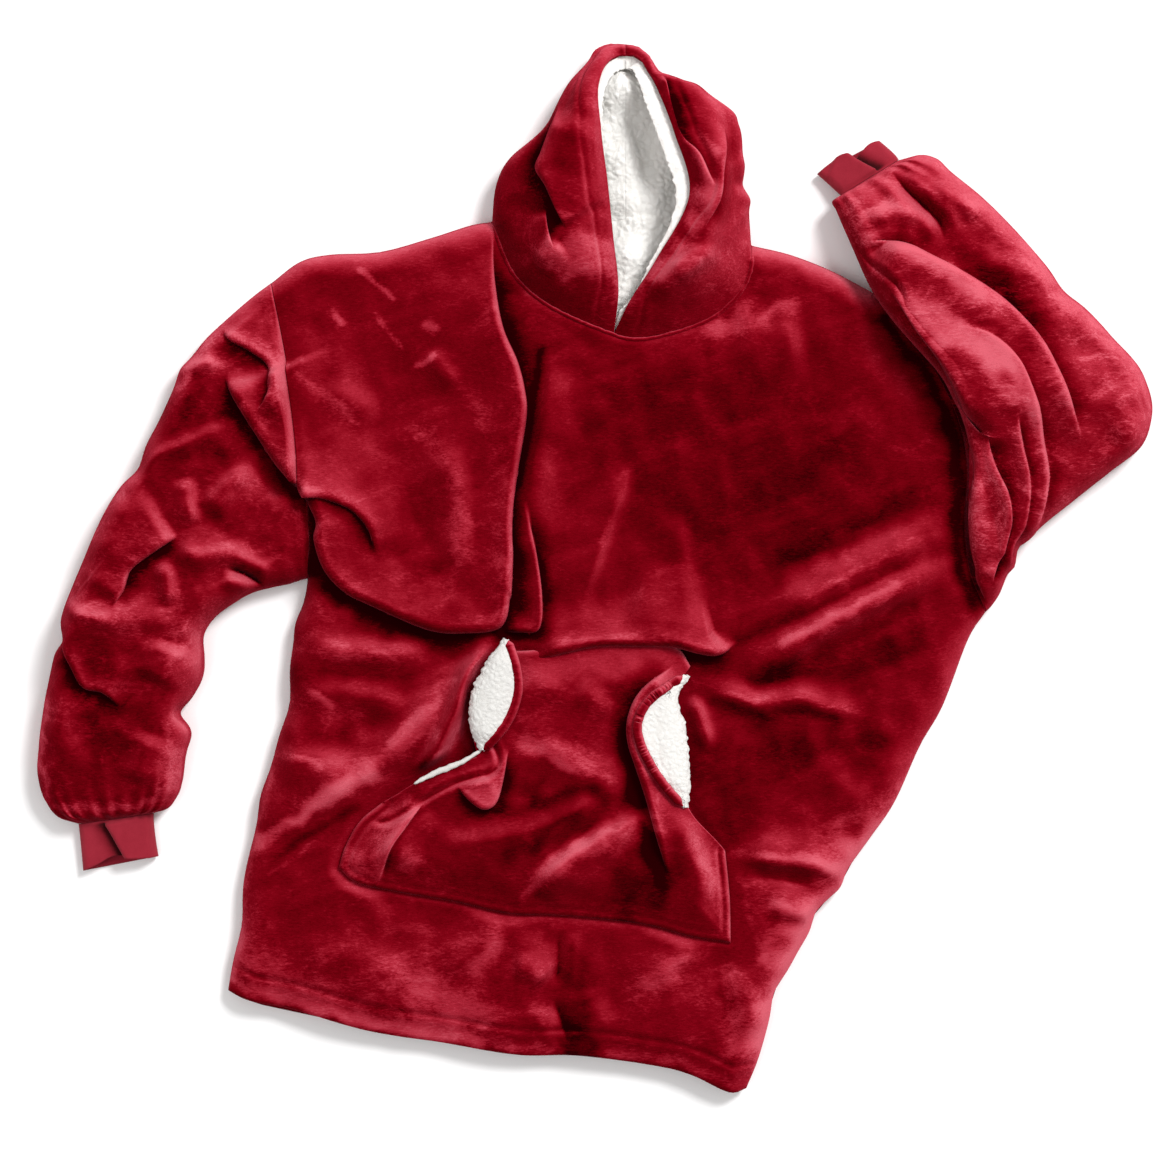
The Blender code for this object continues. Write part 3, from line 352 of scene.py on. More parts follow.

# Patches where the pile was brushed, lighter, or darker where the strength is negative. Many are painted
# light instead: painted highlights along ridges and rims, and painted shadows in creases and beside parts
# that lie over others, such as along the left armhole where the sleeve lies over the body
# strength, half width, line
BRUSHED_AND_PAINTED_LIGHT = {
    "body": [
        (0.5, 15, [(-196, 150), (-160, 118), (-148, 70), (-146, 20), (-158, -30)]),
        (0.8, 5, [(-257, 325), (-236, 310), (-219, 294)]),
        (0.8, 7, [(-283, 276), (-276, 270)]),
        (0.8, 7, [(-182, 268), (-174, 260)]),
        (0.8, 4, [(-196, 220), (-184, 224), (-173, 234)]),
        (0.6, 4, [(-240, 279), (-226, 262), (-210, 241)]),
        (0.5, 8, [(-322, 208), (-290, 184), (-257, 156)]),
        (0.45, 11, [(-232, 6), (-214, -14), (-196, -26)]),
        (0.4, 12, [(-140, 196), (-120, 160), (-108, 110)]),
        (0.75, 14, [(140, 260), (176, 271), (212, 288)]),
        (0.3, 10, [(-72, 30), (-52, 10), (-42, -4)]),
        (0.55, 7, [(268, 154), (282, 164), (300, 160), (316, 146)]),
        (0.55, 7, [(330, 128), (352, 130), (366, 138)]),
        (0.3, 8, [(240, -30), (272, -14), (331, 16), (366, 34)]),
        (0.25, 12, [(160, -98), (205, -82), (245, -62), (298, -34), (350, -8)]),
        (0.35, 6, [(208, -82), (245, -64), (298, -38), (330, -20)]),
        (0.45, 5, [(112, -124), (161, -142), (196, -145), (227, -142), (258, -151), (290, -157)]),
        (-0.35, 7, [(130, -148), (161, -157), (190, -164), (230, -158), (266, -168)]),
        (0.35, 5, [(108, -140), (116, -164), (124, -190)]),
        (0.45, 5, [(35, 103), (23, 68), (8, 27)]),
        (0.4, 14, [(-180, -176), (-250, -220), (-330, -276)]),
        (0.7, 9, [(-364, -303), (-320, -272), (-280, -246), (-240, -222)]),
        (-0.45, 8, [(-344, -314), (-300, -286), (-262, -262)]),
        (0.5, 5, [(-354, -336), (-316, -308), (-280, -280)]),
        (0.5, 10, [(-158, -122), (-186, -158), (-222, -188)]),
        (0.5, 7, [(-336, -140), (-350, -205), (-366, -274), (-381, -339), (-389, -400), (-397, -450)]),
        (0.55, 8, [(-306, -34), (-292, -52), (-270, -54)]),
        (0.5, 5, [(-316, -128), (-300, -142), (-288, -150)]),
        (0.5, 6, [(-338, -206), (-316, -210), (-298, -218)]),
        (0.45, 16, [(-330, -86), (-270, -96), (-210, -100)]),
        (0.4, 16, [(-320, -150), (-260, -160)]),
        (0.5, 26, [(-380, -420), (-330, -460), (-250, -490), (-150, -508)]),
        (0.45, 14, [(-96, -408), (-130, -440)]),
        (0.45, 14, [(110, -424), (60, -460)]),
        (0.5, 26, [(196, -520), (236, -430), (296, -330), (352, -230)]),
        (0.55, 6, [(152, -312), (183, -315), (227, -319), (262, -328)]),
        (0.45, 16, [(250, -288), (284, -306)]),
        (0.5, 6, [(194, -369), (225, -376), (250, -384)]),
        (0.5, 20, [(250, -396), (232, -430), (212, -466), (192, -500), (180, -540)]),
        (0.4, 14, [(150, -440), (152, -480), (150, -530)]),
        (0.5, 30, [(306, -290), (256, -360), (222, -430)]),
        (0.4, 24, [(186, -350), (200, -386), (204, -430)]),
        (0.5, 9, [(-394, -456), (-327, -478), (-246, -500), (-164, -513), (-83, -526), (-44, -528)]),
        (0.5, 9, [(16, -532), (67, -538), (107, -548), (146, -566)]),
        (0.5, 22, [(-200, -450), (-160, -474), (-110, -490)]),
        (0.3, 10, [(-64, -456), (-62, -476), (-58, -500)]),
        (0.3, 8, [(160, -330), (170, -380), (186, -430)]),
        (-0.35, 26, [(120, -200), (150, -250), (160, -290)]),
        (-0.6, 24, [(-20, -440), (-16, -490), (-22, -530)]),
        (-0.2, 60, [(0, 180), (100, 140), (240, 120)]),
        (-0.25, 50, [(40, 80), (110, 50), (200, 40)]),
        (-0.45, 16, [(200, 2), (250, 24), (308, 52), (360, 76)]),
        (-0.4, 10, [(160, -78), (225, -52), (300, -16), (350, 12)]),
        (-0.35, 9, [(180, -124), (240, -94), (300, -66), (352, -38)]),
        (-0.5, 20, [(200, -122), (282, -112), (350, -84)]),
        (-0.6, 5, [(-55, 240), (-66, 192), (-76, 140), (-84, 91)]),
        (0.25, 60, [(-330, -400), (-200, -430), (-60, -450), (60, -470), (160, -500)]),
        (-0.3, 40, [(-220, 60), (-200, 0), (-200, -40)]),
        (-0.9, 14, [
            (424, -40), (404, 0), (399, 52), (401, 107), (393, 155), (369, 207), (337, 250), (312, 290),
        ]),
        (-0.5, 30, [(200, -200), (260, -210), (300, -200)]),
        (-0.6, 5, [(-139, -124), (-148, -162), (-169, -193), (-188, -218)]),
        (0.45, 6, [(-122, -84), (-128, -120), (-138, -160), (-156, -190), (-176, -210)]),
        (0.35, 8, [(62, 240), (118, 254), (158, 280), (182, 316)]),
        (-0.9, 4, [(-134, -128), (-137, -146), (-138, -172), (-132, -198), (-124, -208)]),
        (-0.18, 70, [(60, 200), (160, 190), (250, 160)]),
        (-0.08, 60, [(120, 20), (220, 70), (330, 100)]),
        (-0.4, 13, [(-328, -116), (-270, -124), (-210, -128)]),
        (-0.4, 14, [(-342, -186), (-290, -190), (-240, -194)]),
    ],
    "sleeve_right": [
        (0.3, 16, [(-366, 296), (-352, 250), (-346, 210)]),
        (0.5, 16, [(-440, 96), (-400, 90), (-374, 112)]),
        (0.4, 14, [(-470, 206), (-440, 214), (-410, 214)]),
        (-0.5, 30, [(-450, 170), (-420, 130), (-400, 90)]),
        (0.4, 20, [(-460, -40), (-448, -100)]),
        (0.45, 12, [(-400, 256), (-432, 226), (-458, 190)]),
        (0.45, 13, [(-520, 90), (-546, 50), (-566, 6)]),
        (0.4, 18, [(-570, -30), (-540, -56), (-500, -66)]),
        (0.7, 9, [(-600, -140), (-606, -200), (-600, -250)]),
        (0.6, 12, [(-466, -170), (-464, -210), (-470, -250)]),
        (0.6, 8, [(-590, -262), (-540, -264), (-484, -258)]),
        (-0.4, 36, [(-540, -100), (-530, -180)]),
    ],
    "sleeve_left": [
        (0.35, 46, [(290, 370), (360, 320), (440, 250), (500, 150), (500, 60)]),
        (0.5, 10, [(300, 358), (330, 352), (374, 330), (414, 300)]),
        (0.6, 18, [(352, 282), (392, 262), (440, 236), (466, 196), (476, 162)]),
        (0.5, 10, [(300, 384), (330, 392), (360, 380)]),
        (0.4, 24, [(410, 400), (480, 340), (544, 262), (590, 190)]),
        (-0.4, 18, [(370, 390), (420, 340), (480, 280)]),
        (-0.4, 7, [(392, 280), (414, 270), (440, 258)]),
        (-0.45, 12, [(417, 260), (434, 264), (453, 262)]),
        (-0.4, 12, [(325, 308), (350, 316), (377, 314)]),
        (-0.45, 10, [(463, 210), (468, 186), (468, 164)]),
        (-0.35, 22, [(340, 362), (392, 346), (436, 312)]),
        (0.5, 16, [(390, 250), (416, 240), (446, 212)]),
    ],
    "hood": [
        (0.8, 22, [(-38, 336), (-12, 330), (-8, 348), (-34, 350)]),
        (0.5, 12, [(18, 330), (22, 300)]),
        (0.5, 12, [(112, 470), (132, 430), (118, 380), (80, 330), (40, 290)]),
        (0.35, 18, [(70, 330), (100, 320), (140, 330)]),
        (0.45, 16, [(128, 470), (124, 430), (110, 390)]),
        (-0.3, 34, [(-84, 400), (-70, 440)]),
        (-0.4, 24, [(92, 524), (120, 500), (140, 470)]),
        (-0.35, 18, [(-20, 520), (-30, 490), (-36, 460)]),
    ],
    "pocket": [
        (0.7, 15, [(60, -276), (12, -292), (-34, -316), (-72, -352)]),
        (0.6, 12, [(-74, -190), (-40, -208), (-6, -224), (30, -226)]),
        (0.6, 26, [(-262, -330), (-230, -310), (-200, -280)]),
        (0.6, 16, [(-124, -236), (-112, -262)]),
        (0.45, 16, [(-200, -330), (-160, -350)]),
        (0.5, 14, [(112, -300), (134, -350), (146, -396)]),
        (0.3, 50, [(-60, -140), (-20, -190), (30, -180)]),
        (-0.7, 34, [(-90, -280), (-40, -270), (10, -262)]),
        (-0.5, 30, [(60, -330), (40, -360)]),
        (-0.8, 9, [(30, -180), (33, -205), (42, -240), (54, -280), (68, -325), (80, -350)]),
    ],
}

# Rings of the sleeves after their armholes, and of the cuffs after their seams. The left sleeve's are
# fanned round its elbow
# first x, first y, second x, second y, bow, underside at the first, at the second, height
SLEEVE_RIGHT_RINGS = [
    (-372, 300, -322, -14, 0, 0, 0, 38),
    (-400, 276, -334, -18, 0, 0, 0, 42),
    (-430, 247, -352, -22, 0, 0, 0, 46),
    (-457, 205, -371, -28, 0, 0, 0, 50),
    (-480, 157, -391, -38, 0, 0, 0, 52),
    (-508, 109, -413, -52, 0, 0, 0, 54),
    (-538, 60, -428, -72, 0, 0, 0, 54),
    (-565, -1, -432, -98, 0, 0, 0, 52),
    (-587, -60, -434, -126, 0, 0, 0, 52),
    (-595, -105, -444, -152, 0, 0, 0, 50),
    (-604, -150, -446, -184, 0, 0, 0, 50),
    (-610, -196, -449, -212, 0, 0, 0, 46),
    (-611, -230, -452, -235, 0, 0, 0, 44),
    (-602, -258, -458, -252, 0, 0, 0, 38),
    (-586, -276, -470, -266, 0, 0, 0, 30),
    (-567, -282, -484, -270, 0, 0, 0, 19),
]

SLEEVE_LEFT_RINGS = [
    (334, 281, 438, -42, 30, 0, 0, 38),
    (354, 254, 446, -30, 24, 0, 0, 42),
    (384, 207, 462, 6, 15, 0, 0, 50),
    (402, 172, 488, 40, 8, 0, 0, 54),
    (409, 157, 524, 70, 3, 0, 0, 58),
    (413, 149, 568, 105, 0, 0, 0, 60),
    (413, 152, 603, 134, 0, 3, 0, 60),
    (408, 160, 614, 168, 0, 14, 0, 58),
    (397, 176, 606, 208, 0, 32, 0, 54),
    (377, 211, 568, 256, 0, 42, 0, 48),
    (346, 246, 540, 287, 0, 43, 0, 46),
    (324, 272, 500, 330, 0, 42, 0, 46),
    (303, 304, 458, 377, 0, 36, 0, 46),
    (283, 350, 412, 420, 0, 26, 0, 46),
    (266, 391, 372, 446, 0, 18, 2, 40),
    (262, 402, 355, 452, 0, 14, 3, 32),
    (272, 408, 336, 448, 0, 12, 5, 19),
]

CUFF_RIGHT_RINGS = [
    (-566, -292, -484, -280, 0, 0, 0, 16),
    (-564, -312, -482, -299, 0, 0, 0, 15),
    (-562, -334, -479, -318, 0, 0, 0, 15),
]
CUFF_LEFT_RINGS = [
    (265, 415, 332, 454, 0, 8, 4, 17),
    (256, 424, 324, 462, 0, 5, 2, 15),
    (246, 433, 315, 470, 0, 3, 0, 14),
]

# Lap on each cuff, with the columns of LAPS after the pieces
CUFF_RIGHT_LAP = (8, 4.5, 30, 1, 1, [(-549, -262), (-543, -272), (-532, -292), (-520, -316), (-508, -340)])
CUFF_LEFT_LAP = (6, 3.5, 24, 1, 1, [(326, 428), (312, 436), (298, 444), (286, 451), (276, 458)])
# How far the upper layer's end lies beyond the straight one: share of the way across, millimetres
CUFF_RIGHT_END = [(0, 0), (0.2, -4), (0.42, -10), (0.55, -8), (0.8, -3), (1, 0)]
CUFF_LEFT_END = [(0, 0), (0.2, 3), (0.42, 4), (0.5, 1), (0.58, -5), (0.68, -2), (0.88, 2), (1, 0)]

# Which sleeve starts at which column of the panels, its rings, and its gathers above the cuff
SLEEVES = [("right", 0, SLEEVE_RIGHT_RINGS, 9), ("left", -1, SLEEVE_LEFT_RINGS, 7)]
# Which way the cuff's seam gap lies, its rings, lap and end
CUFFS = [
    ("right", (0, -1, 0), CUFF_RIGHT_RINGS, CUFF_RIGHT_LAP, CUFF_RIGHT_END),
    ("left", (-0.5, 0.8, 0), CUFF_LEFT_RINGS, CUFF_LEFT_LAP, CUFF_LEFT_END),
]
# Largest share of a tube's width and of its height that its rounded edge takes
WIDEST_EDGE, HIGHEST_EDGE = 0.45, 0.42
# Least spacing of two rings, and distances over which a sleeve's swells start and end
LEAST_SPACING, SWELLS_START, SWELLS_END = 8.0, 14.0, 12.0
GATHER_HEIGHT, GATHER_REACH = 3.6, 24.0
# Shares of a cuff over which its lap fades, and how far its upper layer stands open
CUFF_FADE_ACROSS, CUFF_FADE_ALONG, CUFF_OPENING = 0.08, 0.2, 2.5

# Hood sections from the neck seam to the crown
# share of the way, then (x, y, z) of the rim, crest, flank, side and floor line, then y at the centre back
HOOD_RIGHT_SECTIONS = [
    (0.14, (27, 300, 52), (-8, 318, 74), (-70, 345, 66), (-110, 394, 24), (-94, 398, 0), 394),
    (0.32, (21, 362, 62), (-12, 372, 84), (-66, 390, 68), (-105, 424, 27), (-86, 426, 0), 428),
    (0.50, (15, 420, 70), (-16, 425, 86), (-60, 432, 66), (-90, 450, 28), (-70, 452, 0), 460),
    (0.68, (8, 476, 72), (-14, 480, 82), (-38, 483, 62), (-51, 484, 28), (-34, 484, 0), 495),
    (0.84, (6, 528, 64), (-4, 532, 66), (-16, 534, 52), (-24, 532, 24), (-10, 530, 0), 528),
    (0.93, (16, 552, 48), (9, 557, 48), (1, 557, 38), (-4, 554, 20), (8, 551, 0), 542),
    (0.97, (24, 559, 38), (18, 567, 37), (12, 570, 28), (8, 570, 17), (16, 565, 0), 550),
    (0.985, (29, 561, 35), (26, 568, 34), (23, 573, 26), (20, 575, 15), (25, 569, 0), 552),
    (1.00, (35, 561, 36), (35, 568, 35), (35, 572, 27), (35, 573, 16), (35, 567, 0), 555),
]
HOOD_LEFT_SECTIONS = [
    (0.14, (38, 288, 54), (85, 312, 76), (138, 336, 60), (171, 378, 22), (156, 382, 0), 394),
    (0.32, (68, 335, 64), (110, 354, 82), (146, 374, 60), (168, 402, 26), (150, 404, 0), 428),
    (0.50, (104, 405, 72), (134, 414, 82), (152, 424, 58), (161, 440, 28), (142, 442, 0), 460),
    (0.68, (88, 472, 70), (122, 476, 78), (146, 480, 56), (157, 484, 28), (138, 486, 0), 495),
    (0.84, (70, 520, 62), (98, 518, 66), (123, 515, 50), (137, 508, 26), (121, 506, 0), 528),
    (0.93, (59, 547, 48), (68, 548, 50), (78, 544, 40), (86, 536, 22), (77, 532, 0), 540),
    (0.97, (47, 559, 40), (53, 563, 40), (59, 562, 30), (64, 558, 18), (57, 553, 0), 550),
    (0.985, (42, 561, 36), (44, 567, 35), (47, 570, 27), (50, 570, 16), (46, 564, 0), 552),
    (1.00, (35, 561, 36), (35, 568, 35), (35, 572, 27), (35, 573, 16), (35, 567, 0), 555),
]
HOOD_SECTION_SHARES = [0, 0.15, 0.4, 0.6, 0.69, 1]
HOOD_CORNER_SHARE = 0.6

# Lining that lies on the surface inside the hood: its rise over the CAD's, and its mounds
HOOD_FLOOR_RISE = 8
# x, y, height, radius along x, radius along y
HOOD_FLOOR_MOUNDS = [
    (30, 528, 22, 26, 22),
    (58, 448, -9, 16, 34),
    (28, 452, 8, 22, 30),
    (72, 410, 10, 14, 24),
    (40, 404, 8, 26, 20),
]
# How far the lining turns out past the rim, at shares of the way from the neck to the crown
LINING_TURN_RIGHT = [2, 2, 3, 3, 5, 10, 14]
LINING_TURN_LEFT = [4, 8, 13, 18, 21, 19, 14]
LINING_TURN_COLUMNS = 12
LINING_TURN_THICKER = 1.3
# Column from which the way out past the rim is taken
LINING_COLUMN_INSIDE = 6
HOOD_HALVES = [
    ("right", HOOD_RIGHT_SECTIONS, LINING_TURN_RIGHT),
    ("left", HOOD_LEFT_SECTIONS, LINING_TURN_LEFT),
]
# Puff of the hood's hem: height, distance from the rim, half width
HOOD_HEM_PUFF, HOOD_HEM_PUFF_AT, HOOD_HEM_PUFF_WIDTH = 1.8, 9.0, 8.0
# Seam round the neck: radius at its ends, what its middle adds, how deep it lies
NECK_SEAM_END_RADIUS, NECK_SEAM_RADIUS, NECK_SEAM_SUNK = 0.4, 1.9, 0.4

# Sherpa that shows below the hood, at the bottom of its opening: corners, and height over the surface
NECK_FACING_FROM, NECK_FACING_TO = (-34, 258), (104, 404)
NECK_FACING_LOW, NECK_FACING_THICKNESS = 9, 4
# x, y, height, radius along x, radius along y
NECK_FACING_MOUNDS = [(36, 342, 22, 30, 26), (30, 300, 16, 22, 24), (58, 384, 12, 26, 18)]
NECK_FACING_CELLS = 90
NECK_FACING_SLOPE = 24.0

# Soft swells of each piece: height, wavelength, seed
SWELLS = {
    "body": [(2.4, 130, 5), (0.9, 50, 6), (0.25, 22, 7)],
    "sleeve": [(2.2, 90, 11), (1.3, 40, 12), (0.4, 18, 13)],
    "hood": [(1.6, 80, 21), (0.9, 34, 22)],
    "hood_floor": [(3.0, 70, 31), (1.5, 30, 32)],
    "neck_facing": [(1.2, 50, 33)],
    "pocket": [(1.6, 70, 41), (0.9, 30, 42)],
    "mouth_fold": [(0.9, 11, 61)],
}

# Where the warp of the sherpa curls starts, so that each run makes the same ones
CURL_WARP_SEED = 7
# Sherpa curls in the hood, on its turned edge, below it and at the mouths of the pocket
HOOD_CURL_SIZE, HOOD_CURL_SEED, HOOD_CURL_HEIGHT = 8.0, 3.0, 2.4
TURN_CURL_SIZE, TURN_CURL_OUT, TURN_CURL_UP = 7.0, 3.0, 1.6
NECK_CURL_SIZE, NECK_CURL_SEED, NECK_CURL_HEIGHT, NECK_CURL_FADE = 7.0, 5.0, 3.2, 8.0
MOUTH_CURL_SIZE, MOUTH_CURL_SEED, MOUTH_CURL_HEIGHT = 6.0, 9.0, 1.3

# Outline of the pocket
POCKET_BOTTOM = [
    (-279, -329), (-257, -346), (-205, -357), (-152, -366), (-92, -379), (-37, -381),
    (51, -390), (106, -404), (150, -411),
]
POCKET_TOP = [(-103, -92), (-60, -90), (7, -81), (62, -80), (92, -88), (106, -108)]
POCKET_SIDE_RIGHT = [(-279, -329), (-272, -306), (-256, -278), (-231, -257)]
POCKET_MOUTH_RIGHT_LOW = [(-231, -257), (-196, -236), (-160, -217), (-127, -207)]
POCKET_MOUTH_RIGHT_HIGH = [(-127, -207), (-133, -170), (-128, -128), (-103, -92)]
POCKET_SIDE_LEFT = [(150, -411), (149, -362), (144, -310)]
POCKET_MOUTH_LEFT = [(144, -310), (104, -258), (97, -190), (86, -142), (106, -108)]
POCKET_SIDE_ENDS = 0.22
POCKET_MOUTH_BENDS = 0.55
POCKET_PUFF = 13.0
POCKET_PUFF_REACH = 48.0

# Turned-back mouth edges of the pocket: the fluffy fold and the free edge that bears the binding
ROLL_RIGHT_FOLD = [
    (-122, -199), (-127, -186), (-131, -168), (-131, -150),
    (-125, -128), (-112, -104), (-96, -78),
]
ROLL_RIGHT_FREE = [
    (-120, -199), (-106, -184), (-94, -168), (-86, -150),
    (-82, -130), (-85, -106), (-94, -79),
]
ROLL_LEFT_FOLD = [(101, -262), (101, -236), (99, -206), (95, -172), (88, -146), (92, -132), (103, -118)]
ROLL_LEFT_FREE = [(97, -260), (80, -241), (65, -220), (51, -192), (48, -168), (62, -143), (99, -118)]
# Section of the turned-back edge
# share of the section, outward from the fold in mm, share of the way to the free edge, height over the pocket
ROLL_SECTION = [
    (0, 0, 0, -3),
    (0.1, 1.6, 0, -1.5),
    (0.22, 2.6, 0, 3),
    (0.36, 0.8, 0.05, 8),
    (0.6, 0, 0.4, 12),
    (0.85, 0, 0.85, 10),
    (1, 0, 1, 8.5),
]
MOUTHS = [("right", ROLL_RIGHT_FOLD, ROLL_RIGHT_FREE), ("left", ROLL_LEFT_FOLD, ROLL_LEFT_FREE)]
# Width at which the section has its full size, and its least size
ROLL_FULL_WIDTH, ROLL_LEAST_SIZE = 26.0, 0.35
BINDING_RADIUS, BINDING_END_RADIUS, BINDING_RISE = 5.2, 1.2, 1.0
# Sherpa edge that peeps out along the slanting part of the right mouth
LOW_EDGE = [(-196, -236), (-176, -226), (-158, -218), (-140, -210), (-122, -199)]
LOW_EDGE_RADIUS, LOW_EDGE_END_RADIUS, LOW_EDGE_RISE, LOW_EDGE_STATIONS = 2.6, 0.5, 1.5, 60

# Thin trims: sides, unevenness, seed
NECK_SEAM_TUBE = (12, 0.3, 63)
LOW_EDGE_TUBE = (12, 0.5, 57)
BINDING_TUBE = (14, 0.1, 51)
# Share of a trim's length over which it tapers at each end
TAPER_SHARE = 0.05

# Looks of each plush: angle along which its pile lies, added lightness, strength of its painted light on
# slopes, of its mottling
PLUSH_LOOKS = {
    "body": (1.45, 0.0, 1.0, 1.0),
    "right_sleeve": (1.0, 0.0, 1.0, 1.7),
    "left_sleeve": (2.2, 0.11, 0.7, 2.4),
    "hood": (1.3, 0.01, 0.8, 1.5),
}
# Lightness of each copy of the sherpa: the darker copies at the pocket's mouths are painted shade
SHERPA_SHADED_COPIES = {"pile": 1.0, "right_mouth": 0.78, "left_mouth": 0.86}
RIB_ANGLE = 0.14
# Level of a flat, unbrushed pile on the scale of its colours
PLUSH_LEVEL, SHERPA_LEVEL = 0.27, 0.3
# Colours of each cloth from its darkest to its lightest
PLUSH_STOPS = [
    (0.0, (0.018, 0.0, 0.0005)),
    (0.22, (0.115, 0.0002, 0.0028)),
    (0.36, (0.175, 0.0010, 0.0058)),
    (0.47, (0.235, 0.0048, 0.0130)),
    (0.62, (0.34, 0.016, 0.032)),
    (0.8, (0.47, 0.050, 0.077)),
    (1.0, (0.57, 0.095, 0.13)),
]
SHERPA_STOPS = [(0.2, (0.57, 0.54, 0.495)), (0.45, (0.76, 0.735, 0.695)), (0.7, (0.87, 0.855, 0.825))]
JERSEY_STOPS = [(0.0, (0.03, 0.001, 0.002)), (0.3, (0.19, 0.007, 0.016)), (0.85, (0.37, 0.026, 0.046))]

FLOOR_HALF_M, FLOOR_Z_M = 4.0, -0.0008
# name, place, power, size
LAMPS = [("key", (3.4, 3.8, 5.4), 520.0, 2.2), ("fill", (-3.0, -1.0, 5.0), 60.0, 3.0)]

# Camera, in the photograph's frame
IMAGE_WIDTH_M = 1.276
CAMERA_HEIGHT_M = 5.0
CAMERA_AIM_M = (-0.01485, -0.01375)
SENSOR_MM = 36.0

# Stations for each span of a smooth line
LINE_STATIONS, FINE_STATIONS, FOLD_STATIONS, BRUSH_STATIONS = 10, 16, 8, 6
# How far the stations crowd towards the edges of a grid
SIDE_CROWDING, SHOULDER_CROWDING, TUBE_CROWDING = 0.35, 0.4, 0.62
# Distance within which a point lies on a line, a distance out of reach, and one that counts as none
ON_LINE, FAR, TINY = 0.01, 1e6, 1e-9


def smooth_line(points, per_span=LINE_STATIONS):
    """A dense polyline on the Catmull-Rom curve through the points."""
    given = np.asarray(points, float)
    padded = np.vstack([2 * given[0] - given[1], given, 2 * given[-1] - given[-2]])
    t = np.linspace(0, 1, per_span, endpoint=False)[:, None]
    spans = []
    for a, b, c, d in zip(padded, padded[1:], padded[2:], padded[3:]):
        cubic = (-a + 3 * b - 3 * c + d) * t**3
        square = (2 * a - 5 * b + 4 * c - d) * t**2
        spans.append(0.5 * (2 * b + (c - a) * t + square + cubic))
    return np.vstack(spans + [given[-1:]])


def lengths_along(line):
    return np.concatenate([[0], np.cumsum(np.linalg.norm(np.diff(line, axis=0), axis=1))])


def interpolated(wanted, known, rows):
    """Rows of values that belong to the known stations, at the wanted ones."""
    return np.stack([np.interp(wanted, known, rows[:, k]) for k in range(rows.shape[1])], axis=1)


def along(points, shares):
    """Points at these shares of the length of the curve."""
    line = smooth_line(points, FINE_STATIONS)
    lengths = lengths_along(line)
    return interpolated(np.asarray(shares, float) * lengths[-1], lengths, line)


def edge(curves, corners, shares):
    """Points along an edge made of several curves, whose ends lie at the corners' shares."""
    shares = np.asarray(shares, float)
    found = np.zeros((len(shares), 2))
    for curve, start, stop in zip(curves, corners, corners[1:]):
        chosen = (shares >= start - TINY) & (shares <= stop + TINY)
        found[chosen] = along(curve, (shares[chosen] - start) / (stop - start))
    return found


def through(rows, at, wanted):
    """Smooth interpolation of rows of values, known at the parameters in at."""
    rows, at, wanted = (np.asarray(x, float) for x in (rows, at, wanted))
    slopes = np.gradient(rows, at, axis=0)
    i = np.clip(np.searchsorted(at, wanted, side="right") - 1, 0, len(at) - 2)
    width = (at[i + 1] - at[i]).reshape((-1,) + (1,) * (rows.ndim - 1))
    t = (wanted - at[i]).reshape(width.shape) / width
    start = (2 * t**3 - 3 * t**2 + 1) * rows[i] + (t**3 - 2 * t**2 + t) * width * slopes[i]
    stop = (3 * t**2 - 2 * t**3) * rows[i + 1] + (t**3 - t**2) * width * slopes[i + 1]
    return start + stop


def smoothstep(x):
    x = np.clip(x, 0, 1)
    return x * x * (3 - 2 * x)


def bell(x):
    """1 at 0, and almost nothing from 2 away on."""
    return np.exp(-(x**2))


def faded(run, total, start, stop):
    """Eased from 0 to 1 over the start of a run, and back to 0 over its stop."""
    return smoothstep(run / start) * smoothstep((total - run) / stop)


def to_line(plan, line, reach=np.inf):
    """Where each plan point lies by a polyline: distance signed left, millimetres along it and the
    unit direction to its left. Points farther than reach keep an infinite distance."""
    flat = plan.reshape(-1, 2)
    low, high = line.min(axis=0) - reach, line.max(axis=0) + reach
    near = np.flatnonzero(((flat >= low) & (flat <= high)).all(axis=1))
    points = flat[near]
    starts = lengths_along(line)
    nearest = np.full(len(points), np.inf)
    side, run = np.ones(len(points)), np.zeros(len(points))
    left = np.zeros((len(points), 2))
    for origin, end, start, stop in zip(line, line[1:], starts, starts[1:]):
        step, length = end - origin, stop - start
        if length < TINY:
            continue
        offset = points - origin
        t = np.clip(offset @ step / length**2, 0, 1)
        straight = offset - t[:, None] * step
        distance = np.sqrt((straight**2).sum(axis=1))
        closer = distance < nearest - TINY
        across = np.array([-step[1], step[0]]) / length
        sign = np.where(offset @ across >= 0, 1.0, -1.0)
        away = straight / np.maximum(distance, TINY)[:, None]
        away = np.where(distance[:, None] > ON_LINE, away, sign[:, None] * across)
        nearest[closer] = distance[closer]
        side[closer] = sign[closer]
        run[closer] = (start + t * length)[closer]
        left[closer] = (sign[:, None] * away)[closer]
    shape = plan.shape[:-1]
    signed, runs, lefts = np.full(len(flat), np.inf), np.zeros(len(flat)), np.zeros((len(flat), 2))
    signed[near], runs[near], lefts[near] = nearest * side, run, left
    return signed.reshape(shape), runs.reshape(shape), lefts.reshape(plan.shape)


